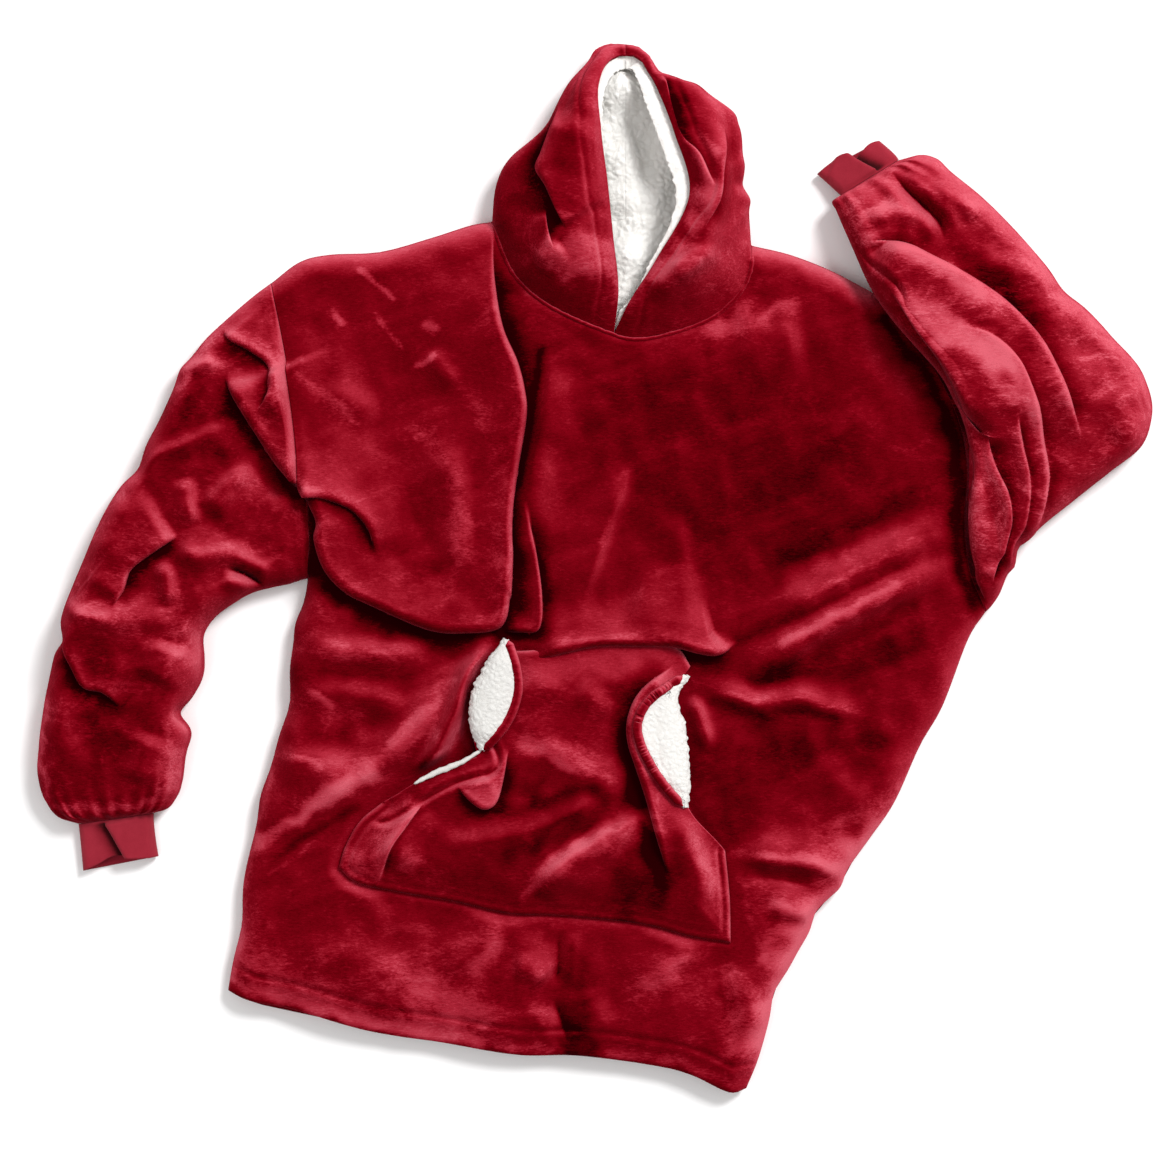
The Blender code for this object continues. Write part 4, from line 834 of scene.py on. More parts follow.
def lap(plan, height, radius, reach, start, stop, points):
    """Shift in plan and rise of the cloth where it folds over an edge and overhangs it, and the painted
    highlight on its rim and the painted shade in the crease beside it."""
    line = smooth_line(points)
    total = lengths_along(line)[-1]
    signed, run, left = to_line(plan, line, LAP_REACHES * reach)
    known = np.isfinite(signed)
    s = np.where(known, signed, 0.0)
    fade = np.where(known, faded(run, total, start, stop), 0.0)
    curl = radius * fade
    zone = 2 * np.maximum(curl, LEAST_CURL)
    share = np.clip(s / zone, 0, 1)
    angle = np.radians(-LAP_UNDERCUT + (90 + LAP_UNDERCUT) * share)
    below = np.sin(np.radians(LAP_UNDERCUT))
    rise = (below + np.sin(angle)) / (1 + below)
    beyond = np.maximum(s - zone, 0)
    window = smoothstep(2 * (1 - s / (LAP_WINDOW * reach)))
    over = np.where(s < zone, curl * (1 - np.cos(angle)) - s, -curl * np.exp(-beyond / DRAWN_BACK) * window)
    under = SLIPS_UNDER * curl * smoothstep((s + SLIP_RADII * radius) / (SLIP_RADII * radius))
    shift = np.where(s >= 0, np.where(fade > 0, over, 0), under)
    lift = np.where(s >= 0, height * fade * rise * np.exp(-beyond / reach) * window, 0)
    # Painted highlight on the rim of the fold, and painted shade in the crease beside it
    rim = PAINTED_RIM_HIGHLIGHT * bell((s - zone) / zone)
    crease = -bell(s / (PAINTED_CREASE_WIDTH + PAINTED_CREASE_GROWTH * height))
    return shift[..., None] * left, lift, fade * np.where(s >= RIM_FROM * zone, rim, crease)


def fold(plan, height, left_width, right_width, points):
    """Rise of a ridge, or of a crease between two swellings where the height is negative, and the painted
    highlight on a ridge, the painted shade in a crease."""
    line = smooth_line(points, FOLD_STATIONS)
    total = lengths_along(line)[-1]
    signed, run, _ = to_line(plan, line, FOLD_REACH * max(left_width, right_width))
    known = np.isfinite(signed)
    s = np.where(known, signed, 0.0)
    t = np.abs(s) / np.where(s >= 0, left_width, right_width)
    fade = np.where(known, faded(run, total, FOLD_FADE * total, FOLD_FADE * total), 0.0)
    if height >= 0:
        ridge = fade * bell(t)
        return height * ridge, PAINTED_RIDGE_HIGHLIGHT * height * ridge**2
    crease = np.exp(-CREASE_STEEPNESS * t)
    swelling = SWELLING_SHARE * bell((t - SWELLING_AT) / SWELLING_WIDTH)
    return height * fade * (crease - swelling), PAINTED_CREASE_SHADE * height * fade * crease**2


def undulation(plan, wavelength, seed, waves=16):
    """A soft random field between about -1 and 1, the same one each time."""
    random = np.random.default_rng(seed)
    angles = random.uniform(0, 2 * np.pi, waves)
    sizes = wavelength * random.uniform(0.7, 1.5, waves)
    phases = random.uniform(0, 2 * np.pi, waves)
    total = np.zeros(plan.shape[:-1])
    for angle, size, phase in zip(angles, sizes, phases):
        across = plan[..., 0] * np.cos(angle) + plan[..., 1] * np.sin(angle)
        total += np.sin(2 * np.pi * across / size + phase)
    return total / np.sqrt(2 * waves)


def uneven(plan, piece):
    """Height of this piece's soft swells."""
    return sum(height * undulation(plan, wavelength, seed) for height, wavelength, seed in SWELLS[piece])


def mounds(plan, table):
    """Height of the round swellings in the table."""
    total = np.zeros(plan.shape[:-1])
    for x, y, height, radius_x, radius_y in table:
        far = ((plan[..., 0] - x) / radius_x) ** 2 + ((plan[..., 1] - y) / radius_y) ** 2
        total += height * np.exp(-far)
    return total


def shaped(plan, piece, gain=FOLD_GAIN):
    """Shift in plan, rise, and the painted highlights and shade of the pile that this piece's laps and folds
    give it.
    """
    shift, rise, painted_light = np.zeros(plan.shape), np.zeros(plan.shape[:-1]), np.zeros(plan.shape[:-1])
    for pieces, *row in LAPS:
        if piece in pieces.split():
            moved, lifted, its_painted_light = lap(plan, *row)
            shift += moved
            rise += lifted
            painted_light += its_painted_light
    for height, *row in FOLDS.get(piece, []):
        lifted, its_painted_light = fold(plan, gain * height, *row)
        rise += lifted
        painted_light += its_painted_light
    return shift, rise, painted_light


def pushed(plan, piece):
    """Plan shift of the dents and bulges of this piece's outline."""
    shift = np.zeros(plan.shape)
    for x, y, along_x, along_y, radius in PUSHES[piece]:
        far = ((plan - (x, y)) ** 2).sum(axis=-1) / radius**2
        shift += np.exp(-far)[..., None] * np.array([along_x, along_y])
    return shift


def brushing_and_painted_light(points, piece):
    """How much lighter or darker the pile is at each point, from its brushed patches and from painted
    highlights and shadows.
    """
    plan = points[..., :2]
    wander = np.stack([undulation(plan, WANDER_LENGTH, seed) for seed in WANDER_SEEDS], axis=-1)
    found = np.zeros(plan.shape[:-1])
    for strength, half_width, line in BRUSHED_AND_PAINTED_LIGHT[piece]:
        dense = smooth_line(line, BRUSH_STATIONS)
        signed = to_line(plan + WANDER * half_width * wander, dense, BRUSH_REACH * half_width)[0]
        t = np.where(np.isfinite(signed), np.abs(signed), FAR) / half_width
        found += strength * bell(t)
    return found


def inside(plan, outline):
    """True where a plan point lies inside the closed outline."""
    found = np.zeros(plan.shape[:-1], bool)
    x, y = plan[..., 0], plan[..., 1]
    for (ax, ay), (bx, by) in zip(outline, np.roll(outline, -1, axis=0)):
        if ay == by:
            continue
        crosses = (ay > y) != (by > y)
        found ^= crosses & (x < (bx - ax) * (y - ay) / (by - ay) + ax)
    return found


def distance_to(plan, points, reach=np.inf):
    signed = to_line(plan, smooth_line(points), reach)[0]
    return np.where(np.isfinite(signed), np.abs(signed), FAR)


def nearest_of(plan, lines, reach=np.inf):
    """Distance to the nearest of several lines."""
    return np.min([distance_to(plan, line, reach) for line in lines], axis=0)


def closed_edge(plan):
    """Distance from the nearest side or shoulder seam, and the direction in from it."""
    best = np.full(plan.shape[:-1], np.inf)
    inward = np.zeros(plan.shape)
    for seam in (SIDE_RIGHT[::-1], SIDE_LEFT, SHOULDER_RIGHT[::-1], SHOULDER_LEFT[::-1]):
        signed, _, left = to_line(plan, smooth_line(seam, FINE_STATIONS))
        distance = np.abs(signed)
        away = np.where((signed < -ON_LINE)[..., None], -left, left)
        closer = distance < best
        best[closer] = distance[closer]
        inward[closer] = away[closer]
    return best, inward


def along_open_corners(plan, inward, armhole_rows, neck_columns):
    """Points the closed corners of the armholes and the neck along those open edges."""
    tip, armpit = -1, -armhole_rows
    for row, column, next_row, next_column in (
        (tip, 0, -2, 0),
        (tip, -1, -2, -1),
        (armpit, 0, armpit + 1, 0),
        (armpit, -1, armpit + 1, -1),
        (-1, neck_columns[0], -1, neck_columns[0] + 1),
        (-1, neck_columns[1], -1, neck_columns[1] - 1),
    ):
        step = plan[next_row, next_column] - plan[row, column]
        inward[row, column] = step / np.linalg.norm(step)


def levelled(height, start):
    """Heights that level off above the start, and rise by no more than the headroom beyond it."""
    over = np.maximum(height - start, 0)
    return height - over + HEADROOM * np.tanh(over / HEADROOM)


def rounding(distance, radius):
    """Cosine and sine of the angle round a folded edge of this radius."""
    cosine = np.clip(1 - distance / radius, 0, 1)
    return cosine, np.sqrt(1 - cosine**2)


def turned_edge(distance, width, drop):
    """How far the top falls over a turned edge, most at the edge itself."""
    return drop * (1 - rounding(distance, width)[1])


def patch(bottom, top, right, left, u, v):
    """Coons patch: a grid of plan points that fills the four edges."""
    u = np.asarray(u)[None, :, None]
    v = np.asarray(v)[:, None, None]
    ruled = (1 - v) * bottom[None] + v * top[None] + (1 - u) * right[:, None] + u * left[:, None]
    low = (1 - u) * bottom[0] + u * bottom[-1]
    high = (1 - u) * top[0] + u * top[-1]
    return ruled - (1 - v) * low - v * high


def closer_at_start(cells):
    """Shares from 0 to 1 in this many cells, closer together at the start."""
    return np.linspace(0, 1, cells + 1) ** 1.35


def closer_at_ends(cells, strength):
    """Shares from 0 to 1 in this many cells, closer together at both ends."""
    t = np.linspace(0, 1, cells + 1)
    return t - strength * np.sin(2 * np.pi * t) / (2 * np.pi)


def body_stations(side, armhole, shoulder, neck, far_shoulder):
    """Stations up the body and across it, for these numbers of cells."""
    low = ARMPIT * closer_at_ends(side, SIDE_CROWDING)[:-1]
    high = ARMPIT + (1 - ARMPIT) * closer_at_ends(armhole, SIDE_CROWDING)
    first = NECK_STARTS * closer_at_ends(shoulder, SHOULDER_CROWDING)[:-1]
    middle = NECK_STARTS + (NECK_ENDS - NECK_STARTS) * np.linspace(0, 1, neck + 1)
    last = 1 - (1 - NECK_ENDS) * closer_at_start(far_shoulder)[::-1][1:]
    return np.concatenate([low, high]), np.concatenate([first, middle, last])


def body_plan(u, v, neck, hem_shift):
    hem = along(HEM, u) + hem_shift
    top = edge([SHOULDER_RIGHT, neck, SHOULDER_LEFT], [0, NECK_STARTS, NECK_ENDS, 1], u)
    right = edge([SIDE_RIGHT, ARMHOLE_RIGHT], [0, ARMPIT, 1], v)
    left = edge([SIDE_LEFT, ARMHOLE_LEFT], [0, ARMPIT, 1], v)
    return patch(hem, top, right, left, u, v)


def pocket_outline():
    """The pocket's outline from the right end of its bottom, all the way round."""
    curves = [smooth_line(POCKET_BOTTOM)]
    for points in (POCKET_SIDE_LEFT, POCKET_MOUTH_LEFT):
        curves.append(smooth_line(points)[1:])
    for points in (POCKET_TOP, POCKET_MOUTH_RIGHT_HIGH, POCKET_MOUTH_RIGHT_LOW, POCKET_SIDE_RIGHT):
        curves.append(smooth_line(points)[::-1][1:])
    return np.vstack(curves)[:-1]


def groove(distance, at, depth, half_width):
    """A stitched groove with a soft swelling on each side of it."""
    t = (distance - at) / half_width
    return depth * (0.4 * bell((np.abs(t) - 2.2) / 1.3) - bell(t))


def front_grids():
    """Outer and inner layer of the front, and the painted highlights and shade of its pile."""
    v, u = body_stations(SIDE_CELLS, ARMHOLE_CELLS, SHOULDER_CELLS, NECK_CELLS, FAR_SHOULDER_CELLS)
    plan = body_plan(u, v, NECK_FRONT, np.zeros((len(u), 2)))
    distance, inward = closed_edge(plan)
    along_open_corners(plan, inward, ARMHOLE_CELLS + 1, (SHOULDER_CELLS, SHOULDER_CELLS + NECK_CELLS))
    outline = pocket_outline()
    signed = to_line(plan, np.vstack([outline, outline[:1]]))[0]
    by_pocket = np.where(inside(plan, outline), -1, 1) * np.abs(signed)
    free = smoothstep((by_pocket - FLAT_BY_POCKET) / RISE_BY_POCKET)
    from_hem = distance_to(plan, HEM)
    shift, rise, painted_light = shaped(plan, "body")
    tongue_shift, tongue_rise, tongue_painted_light = shaped(plan, "tongue")
    height = FRONT_TOP - HEM_DROP * (1 - smoothstep(from_hem / HEM_ROLL))
    height += free * (rise + uneven(plan, "body")) + tongue_rise + groove(from_hem, *HEM_STITCHES)
    from_seam = nearest_of(plan, [ARMHOLE_RIGHT, ARMHOLE_LEFT, NECK_FRONT], SEAM_REACH)
    height -= SEAM_DIP * bell(from_seam / SEAM_DIP_WIDTH)
    height -= POCKET_DIP * bell(by_pocket / POCKET_DIP_WIDTH)
    cosine, sine = rounding(distance, FRONT_EDGE_RADIUS)
    z = SEAM_HEIGHT + SEAM_HALF_GAP + (height - SEAM_HEIGHT) * sine
    z -= turned_edge(from_hem, *HEM_TURN)
    moved = plan + (free[..., None] * shift + tongue_shift) * sine[..., None] + pushed(plan, "body")
    outer = np.dstack([moved, z])
    inner = outer + WALL * np.dstack([cosine[..., None] * inward, -sine])
    inner[..., 2] = np.minimum(inner[..., 2], FRONT_TOP + INNER_HEADROOM)
    return outer, inner, free * painted_light + tongue_painted_light


def back_grids():
    """Outer and inner layer of the back, flat below and risen to its seams."""
    v, u = body_stations(
        BACK_SIDE_CELLS, BACK_ARMHOLE_CELLS, BACK_SHOULDER_CELLS, BACK_NECK_CELLS, BACK_SHOULDER_CELLS
    )
    shift = np.zeros((len(u), 2))
    shift[:, 1] = BACK_HEM_SHORTER * np.sin(np.pi * u)
    shift[:, 1] -= BACK_HEM_PEEPS * np.sin(np.pi * np.clip(u / BACK_HEM_PEEPS_TO, 0, 1))
    plan = body_plan(u, v, NECK_BACK, shift)
    distance, inward = closed_edge(plan)
    necks = (BACK_SHOULDER_CELLS, BACK_SHOULDER_CELLS + BACK_NECK_CELLS)
    along_open_corners(plan, inward, BACK_ARMHOLE_CELLS + 1, necks)
    cosine, sine = rounding(distance, BACK_EDGE_RADIUS)
    z = (SEAM_HEIGHT - SEAM_HALF_GAP) * (1 - sine)
    outer = np.dstack([plan + pushed(plan, "body"), z])
    inner = outer + WALL * np.dstack([cosine[..., None] * inward, sine])
    return outer, inner


def tube_shares(over_cells, under_cells):
    """Shares of the top and underside of a flattened tube, closer together at its two edges."""
    return closer_at_ends(over_cells, TUBE_CROWDING), closer_at_ends(under_cells, TUBE_CROWDING)


def closed_ring(top, low):
    """Ring of a tube from its top and its underside, which share their end points."""
    return np.vstack([top, low[::-1][1:-1]])


def section_ring(row, over, under, radius, wall):
    """Outer and inner ring of a flattened tube between the two plan points of a row of its table."""
    first, second = np.array(row[:2], float), np.array(row[2:4], float)
    bow, low_first, low_second, height = row[4:]
    chord = second - first
    length = np.linalg.norm(chord)
    direction = chord / length
    across = np.array([-direction[1], direction[0]])
    reach = min(radius, WIDEST_EDGE * length)
    outer, inner = [], []
    for s, sign in ((over, 1), (under[::-1][1:-1], -1)):
        plan = first + s[:, None] * chord + (4 * s * (1 - s) * bow)[:, None] * across
        low = low_first + (low_second - low_first) * s
        middle = low + min(SEAM_HEIGHT, HIGHEST_EDGE * height)
        cosine, sine = rounding(np.minimum(s, 1 - s) * length, reach)
        end = low + height if sign > 0 else low
        z = middle + (end - middle) * sine
        inward = np.where(s[:, None] < 0.5, direction, -direction) * cosine[:, None]
        outer.append(np.column_stack([plan, z]))
        inner.append(np.column_stack([plan + wall * inward, z - sign * wall * sine]))
    return np.vstack(outer), np.vstack(inner)


def first_ring(front, back, column, shift, over, under):
    """The ring along the panels' armhole, from its tip to the armpit and back underneath."""
    sides = []
    for panel, cells, shares in ((front, ARMHOLE_CELLS, over), (back, BACK_ARMHOLE_CELLS, under)):
        armhole = panel[-(cells + 1) :, column][::-1]
        lengths = lengths_along(armhole[:, :2])
        sides.append(interpolated(shares * lengths[-1], lengths, armhole))
    ring = closed_ring(*sides) + shift
    ring[0, 2] = ring[len(over) - 1, 2] = SEAM_HEIGHT
    return ring


def sleeve_grids(front, back, column, shift, rings, piece, gathers):
    """Fine rings of a sleeve from the armhole to the cuff, with its folds."""
    over, under = tube_shares(SLEEVE_OVER_CELLS, SLEEVE_UNDER_CELLS)
    layers = []
    for layer in (0, 1):
        knots = [first_ring(front[layer], back[layer], column, shift, over, under)]
        for row in rings:
            knots.append(section_ring(row, over, under, FRONT_EDGE_RADIUS, WALL)[layer])
        layers.append(np.array(knots))
    spacing = np.linalg.norm(np.diff(layers[0][:, ::10].mean(axis=1), axis=0), axis=1)
    knots = np.concatenate([[0], np.cumsum(np.maximum(spacing, LEAST_SPACING))])
    wanted = np.linspace(0, knots[-1], SLEEVE_LENGTH_CELLS + 1)
    outer, inner = (through(layer, knots, wanted) for layer in layers)
    for layer in (outer, inner):
        layer[..., 2] = np.maximum(layer[..., 2], 0)
    count = len(over)
    plan = outer[:, :count, :2].copy()
    shift_in_plan, rise, painted_light = shaped(plan, piece)
    width = np.linalg.norm(plan[:, -1] - plan[:, 0], axis=1)[:, None]
    sine = rounding(np.minimum(over, 1 - over) * width, FRONT_EDGE_RADIUS)[1]
    from_start = wanted[:, None]
    from_end = (knots[-1] - wanted)[:, None]
    started = smoothstep(from_start / SWELLS_START)
    ended = smoothstep(from_end / SWELLS_END)
    waves = np.sin(2 * np.pi * gathers * over + 1.9 * np.sin(7 * over)) * (0.7 + 0.4 * np.sin(17 * over))
    gathered = GATHER_HEIGHT * waves * np.exp(-from_end / GATHER_REACH) * ended
    held = np.where(from_start < 1, 0, 1)
    lift = (rise * held + uneven(plan, "sleeve") * started) * ended + gathered
    lift += SLEEVE_SEAM_DIP * (smoothstep(from_start / SLEEVE_SEAM_WIDTH) - 1) * held
    moved = shift_in_plan * (sine * held * ended)[..., None]
    for layer, level in ((outer, LEVEL_FROM), (inner, LEVEL_FROM - WALL)):
        layer[:, :count, 2] = levelled(layer[:, :count, 2] + lift * sine, level)
        layer[:, :count, :2] += moved
        push = pushed(layer[..., :2], piece)
        push[0] = 0
        layer[..., :2] += push
    full_painted_light = np.zeros(outer.shape[:2])
    full_painted_light[:, :count] = painted_light * sine
    return outer, inner, full_painted_light


def cuff_grids(sleeve, rings, shift, crease, end_table):
    """A cuff: its first ring is the sleeve's last one, moved off by the seam gap and thinned. Its upper
    layer ends where the table says, so that the opening shows."""
    over, under = tube_shares(CUFF_OVER_CELLS, CUFF_UNDER_CELLS)
    own_over, own_under = tube_shares(SLEEVE_OVER_CELLS, SLEEVE_UNDER_CELLS)
    sleeve_over = len(own_over)
    end_outer, end_inner = sleeve[0][-1], sleeve[1][-1]
    thinned = end_outer + (end_inner - end_outer) * CUFF_WALL / WALL
    layers = []
    for layer, end in ((0, end_outer), (1, thinned)):
        low_end = np.vstack([end[sleeve_over - 1], end[sleeve_over:], end[0]])
        top = interpolated(over, own_over, end[:sleeve_over])
        low = interpolated(under, own_under, low_end[::-1])
        knots = [closed_ring(top, low) + shift]
        for row in rings:
            knots.append(section_ring(row, over, under, row[-1] / 2, CUFF_WALL)[layer])
        layers.append(np.array(knots))
    at = np.linspace(0, 1, len(rings) + 1)
    wanted = np.linspace(0, 1, CUFF_LENGTH_CELLS + 1)
    outer, inner = (through(layer, at, wanted) for layer in layers)
    count = len(over)
    moved, rise, painted_light = lap(outer[:, :count, :2], *crease)
    sine = smoothstep(np.minimum(over, 1 - over) / CUFF_FADE_ACROSS)
    sine = sine * smoothstep(wanted[:, None] / CUFF_FADE_ALONG)
    onward = outer[-1, :, :2].mean(axis=0) - outer[0, :, :2].mean(axis=0)
    onward /= np.linalg.norm(onward)
    at, lengths = np.array(end_table, float).T
    towards_end = (wanted**2)[:, None]
    beyond = through(lengths[:, None], at, over)[:, 0] * towards_end
    opened = CUFF_OPENING * np.sin(np.pi * over) * towards_end
    for layer in (outer, inner):
        layer[:, :count, 2] += rise * sine + opened
        layer[:, :count, :2] += moved * sine[..., None] + beyond[..., None] * onward
    full_painted_light = np.zeros(outer.shape[:2])
    full_painted_light[:, :count] = painted_light * sine
    # Painted shade on the cuff's underside layer, seen through its opening
    full_painted_light[:, count:] = -CUFF_INSIDE_PAINTED_SHADE * towards_end
    return outer, inner, full_painted_light


def unit(vectors):
    """Vectors along the last axis, made one long."""
    return vectors / np.maximum(np.linalg.norm(vectors, axis=-1, keepdims=True), TINY)


def grid_normals(grid):
    """Unit normal at each point of a grid, from its neighbours."""
    return unit(np.cross(np.gradient(grid, axis=1), np.gradient(grid, axis=0)))


def neck_edge(front):
    return front[-1, SHOULDER_CELLS : SHOULDER_CELLS + NECK_CELLS + 1]


def hood_base(front, back, over, under, half):
    """Seam loop of a hood half from the rim to the centre back, in one layer, and the way into the hood."""
    top_front = neck_edge(front)
    top_back = back[-1, BACK_SHOULDER_CELLS : BACK_SHOULDER_CELLS + BACK_NECK_CELLS + 1]
    done = over / HOOD_CORNER_SHARE
    behind = (under - HOOD_CORNER_SHARE) / (1 - HOOD_CORNER_SHARE)
    if half == "right":
        on_front, on_back, corner = FRONT_SPLIT * (1 - done), BACK_SPLIT * behind, top_back[0]
    else:
        on_front, on_back = FRONT_SPLIT + (1 - FRONT_SPLIT) * done, 1 - (1 - BACK_SPLIT) * behind
        corner = top_back[-1]
    top = interpolated(on_front, np.linspace(0, 1, len(top_front)), top_front)
    low = interpolated(on_back, np.linspace(0, 1, len(top_back)), top_back)
    loop = np.vstack([top, low])
    loop[len(over) - 1] = corner
    loop[len(over) - 1, 2] = SEAM_HEIGHT
    tangent = unit(np.gradient(top[:, :2], axis=0))
    into = np.zeros((len(loop), 2))
    into[: len(over)] = SIDE[half] * np.column_stack([-tangent[:, 1], tangent[:, 0]])
    into[len(over) :] = (0, 1)
    into[len(over) - 1] = (-SIDE[half] * 0.7, 0.7)
    loop[:, :2] += HOOD_SEAM_GAP * into
    return loop, into


def hood_layers(front, back, half, sections, cells):
    """Outer and inner layer of a hood half and of its lining, each column's share, and the normals."""
    over_cells, under_cells, length_cells = cells
    over = HOOD_CORNER_SHARE * np.linspace(0, 1, over_cells + 1)
    under = np.linspace(HOOD_CORNER_SHARE, 1, under_cells + 1)[1:]
    shares = np.concatenate([over, under])
    base, into = hood_base(front[0], back[0], over, under, half)
    base_inner = hood_base(front[1], back[1], over, under, half)[0]
    knots, rows = [0.0], [base]
    for share, *points, centre_y in sections:
        section = np.array([*points, (HOOD_CENTRE_X, centre_y, 0)], float)
        if share == 1:
            section[:, 0] = HOOD_CENTRE_X
        knots.append(share)
        rows.append(through(section, HOOD_SECTION_SHARES, shares))
    stations = np.linspace(0, 1, length_cells + 1)
    outer = through(np.array(rows), knots, stations)
    outer[1:, -1, 0] = HOOD_CENTRE_X
    outer[-1, :, 0] = HOOD_CENTRE_X
    outer[..., 2] = np.maximum(outer[..., 2], 0)
    outer[..., :2] += pushed(outer[..., :2], "hood") * (stations > 0)[:, None, None]
    normals = SIDE[half] * grid_normals(outer)
    normals[-1, :, 0] = 0
    normals[1:, -1] = (0, 0, -1)
    normals = unit(normals)
    depths = (0, WALL, WALL + LINING_GAP, WALL + LINING_GAP + LINING_WALL)
    layers = [outer - depth * normals for depth in depths]
    step = (base_inner - base) / WALL
    for layer, depth in zip(layers, depths):
        layer[0] = base + depth * step
        if depth > WALL:
            layer[0, :, :2] += LINING_GAP * into
        layer[-1, :, 0] = HOOD_CENTRE_X
        layer[:, -1, 0] = HOOD_CENTRE_X
    return layers, shares, normals


def hood_outer_grids(front, back, half, sections):
    """Outer and inner layer of a hood half with its hem and folds, and the painted highlights and shade of
    its pile.
    """
    layers, shares, normals = hood_layers(front, back, half, sections, HOOD_CELLS)
    outer, inner = layers[:2]
    stations = np.linspace(0, 1, len(outer))[:, None]
    steps = np.linalg.norm(np.diff(outer, axis=1), axis=-1)
    from_rim = np.concatenate([np.zeros((len(outer), 1)), np.cumsum(steps, axis=1)], axis=1)
    hem = groove(from_rim, *HOOD_STITCHES)
    hem += HOOD_HEM_PUFF * bell((from_rim - HOOD_HEM_PUFF_AT) / HOOD_HEM_PUFF_WIDTH)
    plan = outer[..., :2].copy()
    shift, rise, painted_light = shaped(plan, "hood")
    fade = faded(shares, HOOD_CORNER_SHARE, 0.05, 0.12) * faded(stations, 1, 0.08, 0.06)
    outer = outer + (hem * smoothstep(stations / 0.06))[..., None] * normals
    outer[..., 2] += (rise + uneven(plan, "hood")) * fade
    outer[..., :2] += shift * fade[..., None]
    outer[..., 2] = levelled(outer[..., 2], LEVEL_FROM)
    return outer, inner, painted_light * fade


def curls(points, size, seed):
    """Height from 0 to 1 of sherpa curls of this size at each point."""
    noise.seed_set(CURL_WARP_SEED)
    flat = points.reshape(-1, 3) / size + seed
    found = np.empty(len(flat))
    for i, place in enumerate(flat):
        warp = noise.noise_vector(Vector(place) * 0.7) * 0.55
        near, far = noise.voronoi(Vector(place) + warp)[0][:2]
        found[i] = min(1.0, (far - near) * 1.5) * 0.75 + 0.25 * (1 - min(1.0, near))
    return found.reshape(points.shape[:-1])


def lining_grids(front, back, half, sections, turns):
    """Seen and hidden layer of a half of the hood's lining, with its edge turned out round the rim, and
    the height of its curls."""
    layers, shares, normals = hood_layers(front, back, half, sections, LINING_CELLS)
    outer, inner = layers[2:]
    stations = np.linspace(0, 1, len(outer))
    plan = inner[..., :2].copy()
    floor = smoothstep((shares - HOOD_CORNER_SHARE) / 0.04)[None, :]
    fade = floor * faded(stations, 1, 0.08, 0.1)[:, None]
    inner[..., 2] += fade * (mounds(plan, HOOD_FLOOR_MOUNDS) + HOOD_FLOOR_RISE + uneven(plan, "hood_floor"))
    curl = curls(inner, HOOD_CURL_SIZE, HOOD_CURL_SEED)
    started = smoothstep(stations / 0.04)[:, None]
    inner = inner - (HOOD_CURL_HEIGHT * (curl - 0.3) * started)[..., None] * normals
    reach = through(np.array(turns, float)[:, None], np.linspace(0, 1, len(turns)), stations)
    out = outer[:, 0] - outer[:, LINING_COLUMN_INSIDE]
    out[:, 2] = 0
    out = unit(out)
    angles = np.linspace(0, np.pi, LINING_TURN_COLUMNS + 2)[1:-1]
    middle, half_gap = (outer[:, 0] + inner[:, 0]) / 2, (outer[:, 0] - inner[:, 0]) / 2
    columns = []
    for angle in angles:
        across = np.cos(angle) * half_gap * LINING_TURN_THICKER
        columns.append(middle + across + np.sin(angle) * reach * out)
    turned = np.stack(columns, axis=1)
    puff = curls(turned, TURN_CURL_SIZE, HOOD_CURL_SEED)
    turned += ((puff - 0.4) * TURN_CURL_OUT * started)[..., None] * out[:, None, :]
    turned[..., 2] += (puff - 0.4) * TURN_CURL_UP * started
    behind = np.repeat(outer[:, :1], LINING_TURN_COLUMNS, axis=1)
    seen, hidden = np.concatenate([turned, inner], axis=1), np.concatenate([behind, outer], axis=1)
    return seen, hidden, np.concatenate([puff, curl], axis=1)


def neck_facing_grids():
    """The sherpa seen at the bottom of the hood's opening, as a soft mound below the hood."""
    x, y = (
        np.linspace(start, stop, NECK_FACING_CELLS + 1)
        for start, stop in zip(NECK_FACING_FROM, NECK_FACING_TO)
    )
    plan = np.dstack(np.meshgrid(x, y))
    height = uneven(plan, "neck_facing") + mounds(plan, NECK_FACING_MOUNDS)
    from_edge = np.minimum(plan - NECK_FACING_FROM, NECK_FACING_TO - plan).min(axis=-1)
    low = np.dstack([plan, NECK_FACING_LOW + height * smoothstep(from_edge / NECK_FACING_SLOPE)])
    curl = curls(low, NECK_CURL_SIZE, NECK_CURL_SEED)
    top = low + (0, 0, NECK_FACING_THICKNESS)
    top[..., 2] += NECK_CURL_HEIGHT * (curl - 0.3) * smoothstep(from_edge / NECK_CURL_FADE)
    return top, low, curl


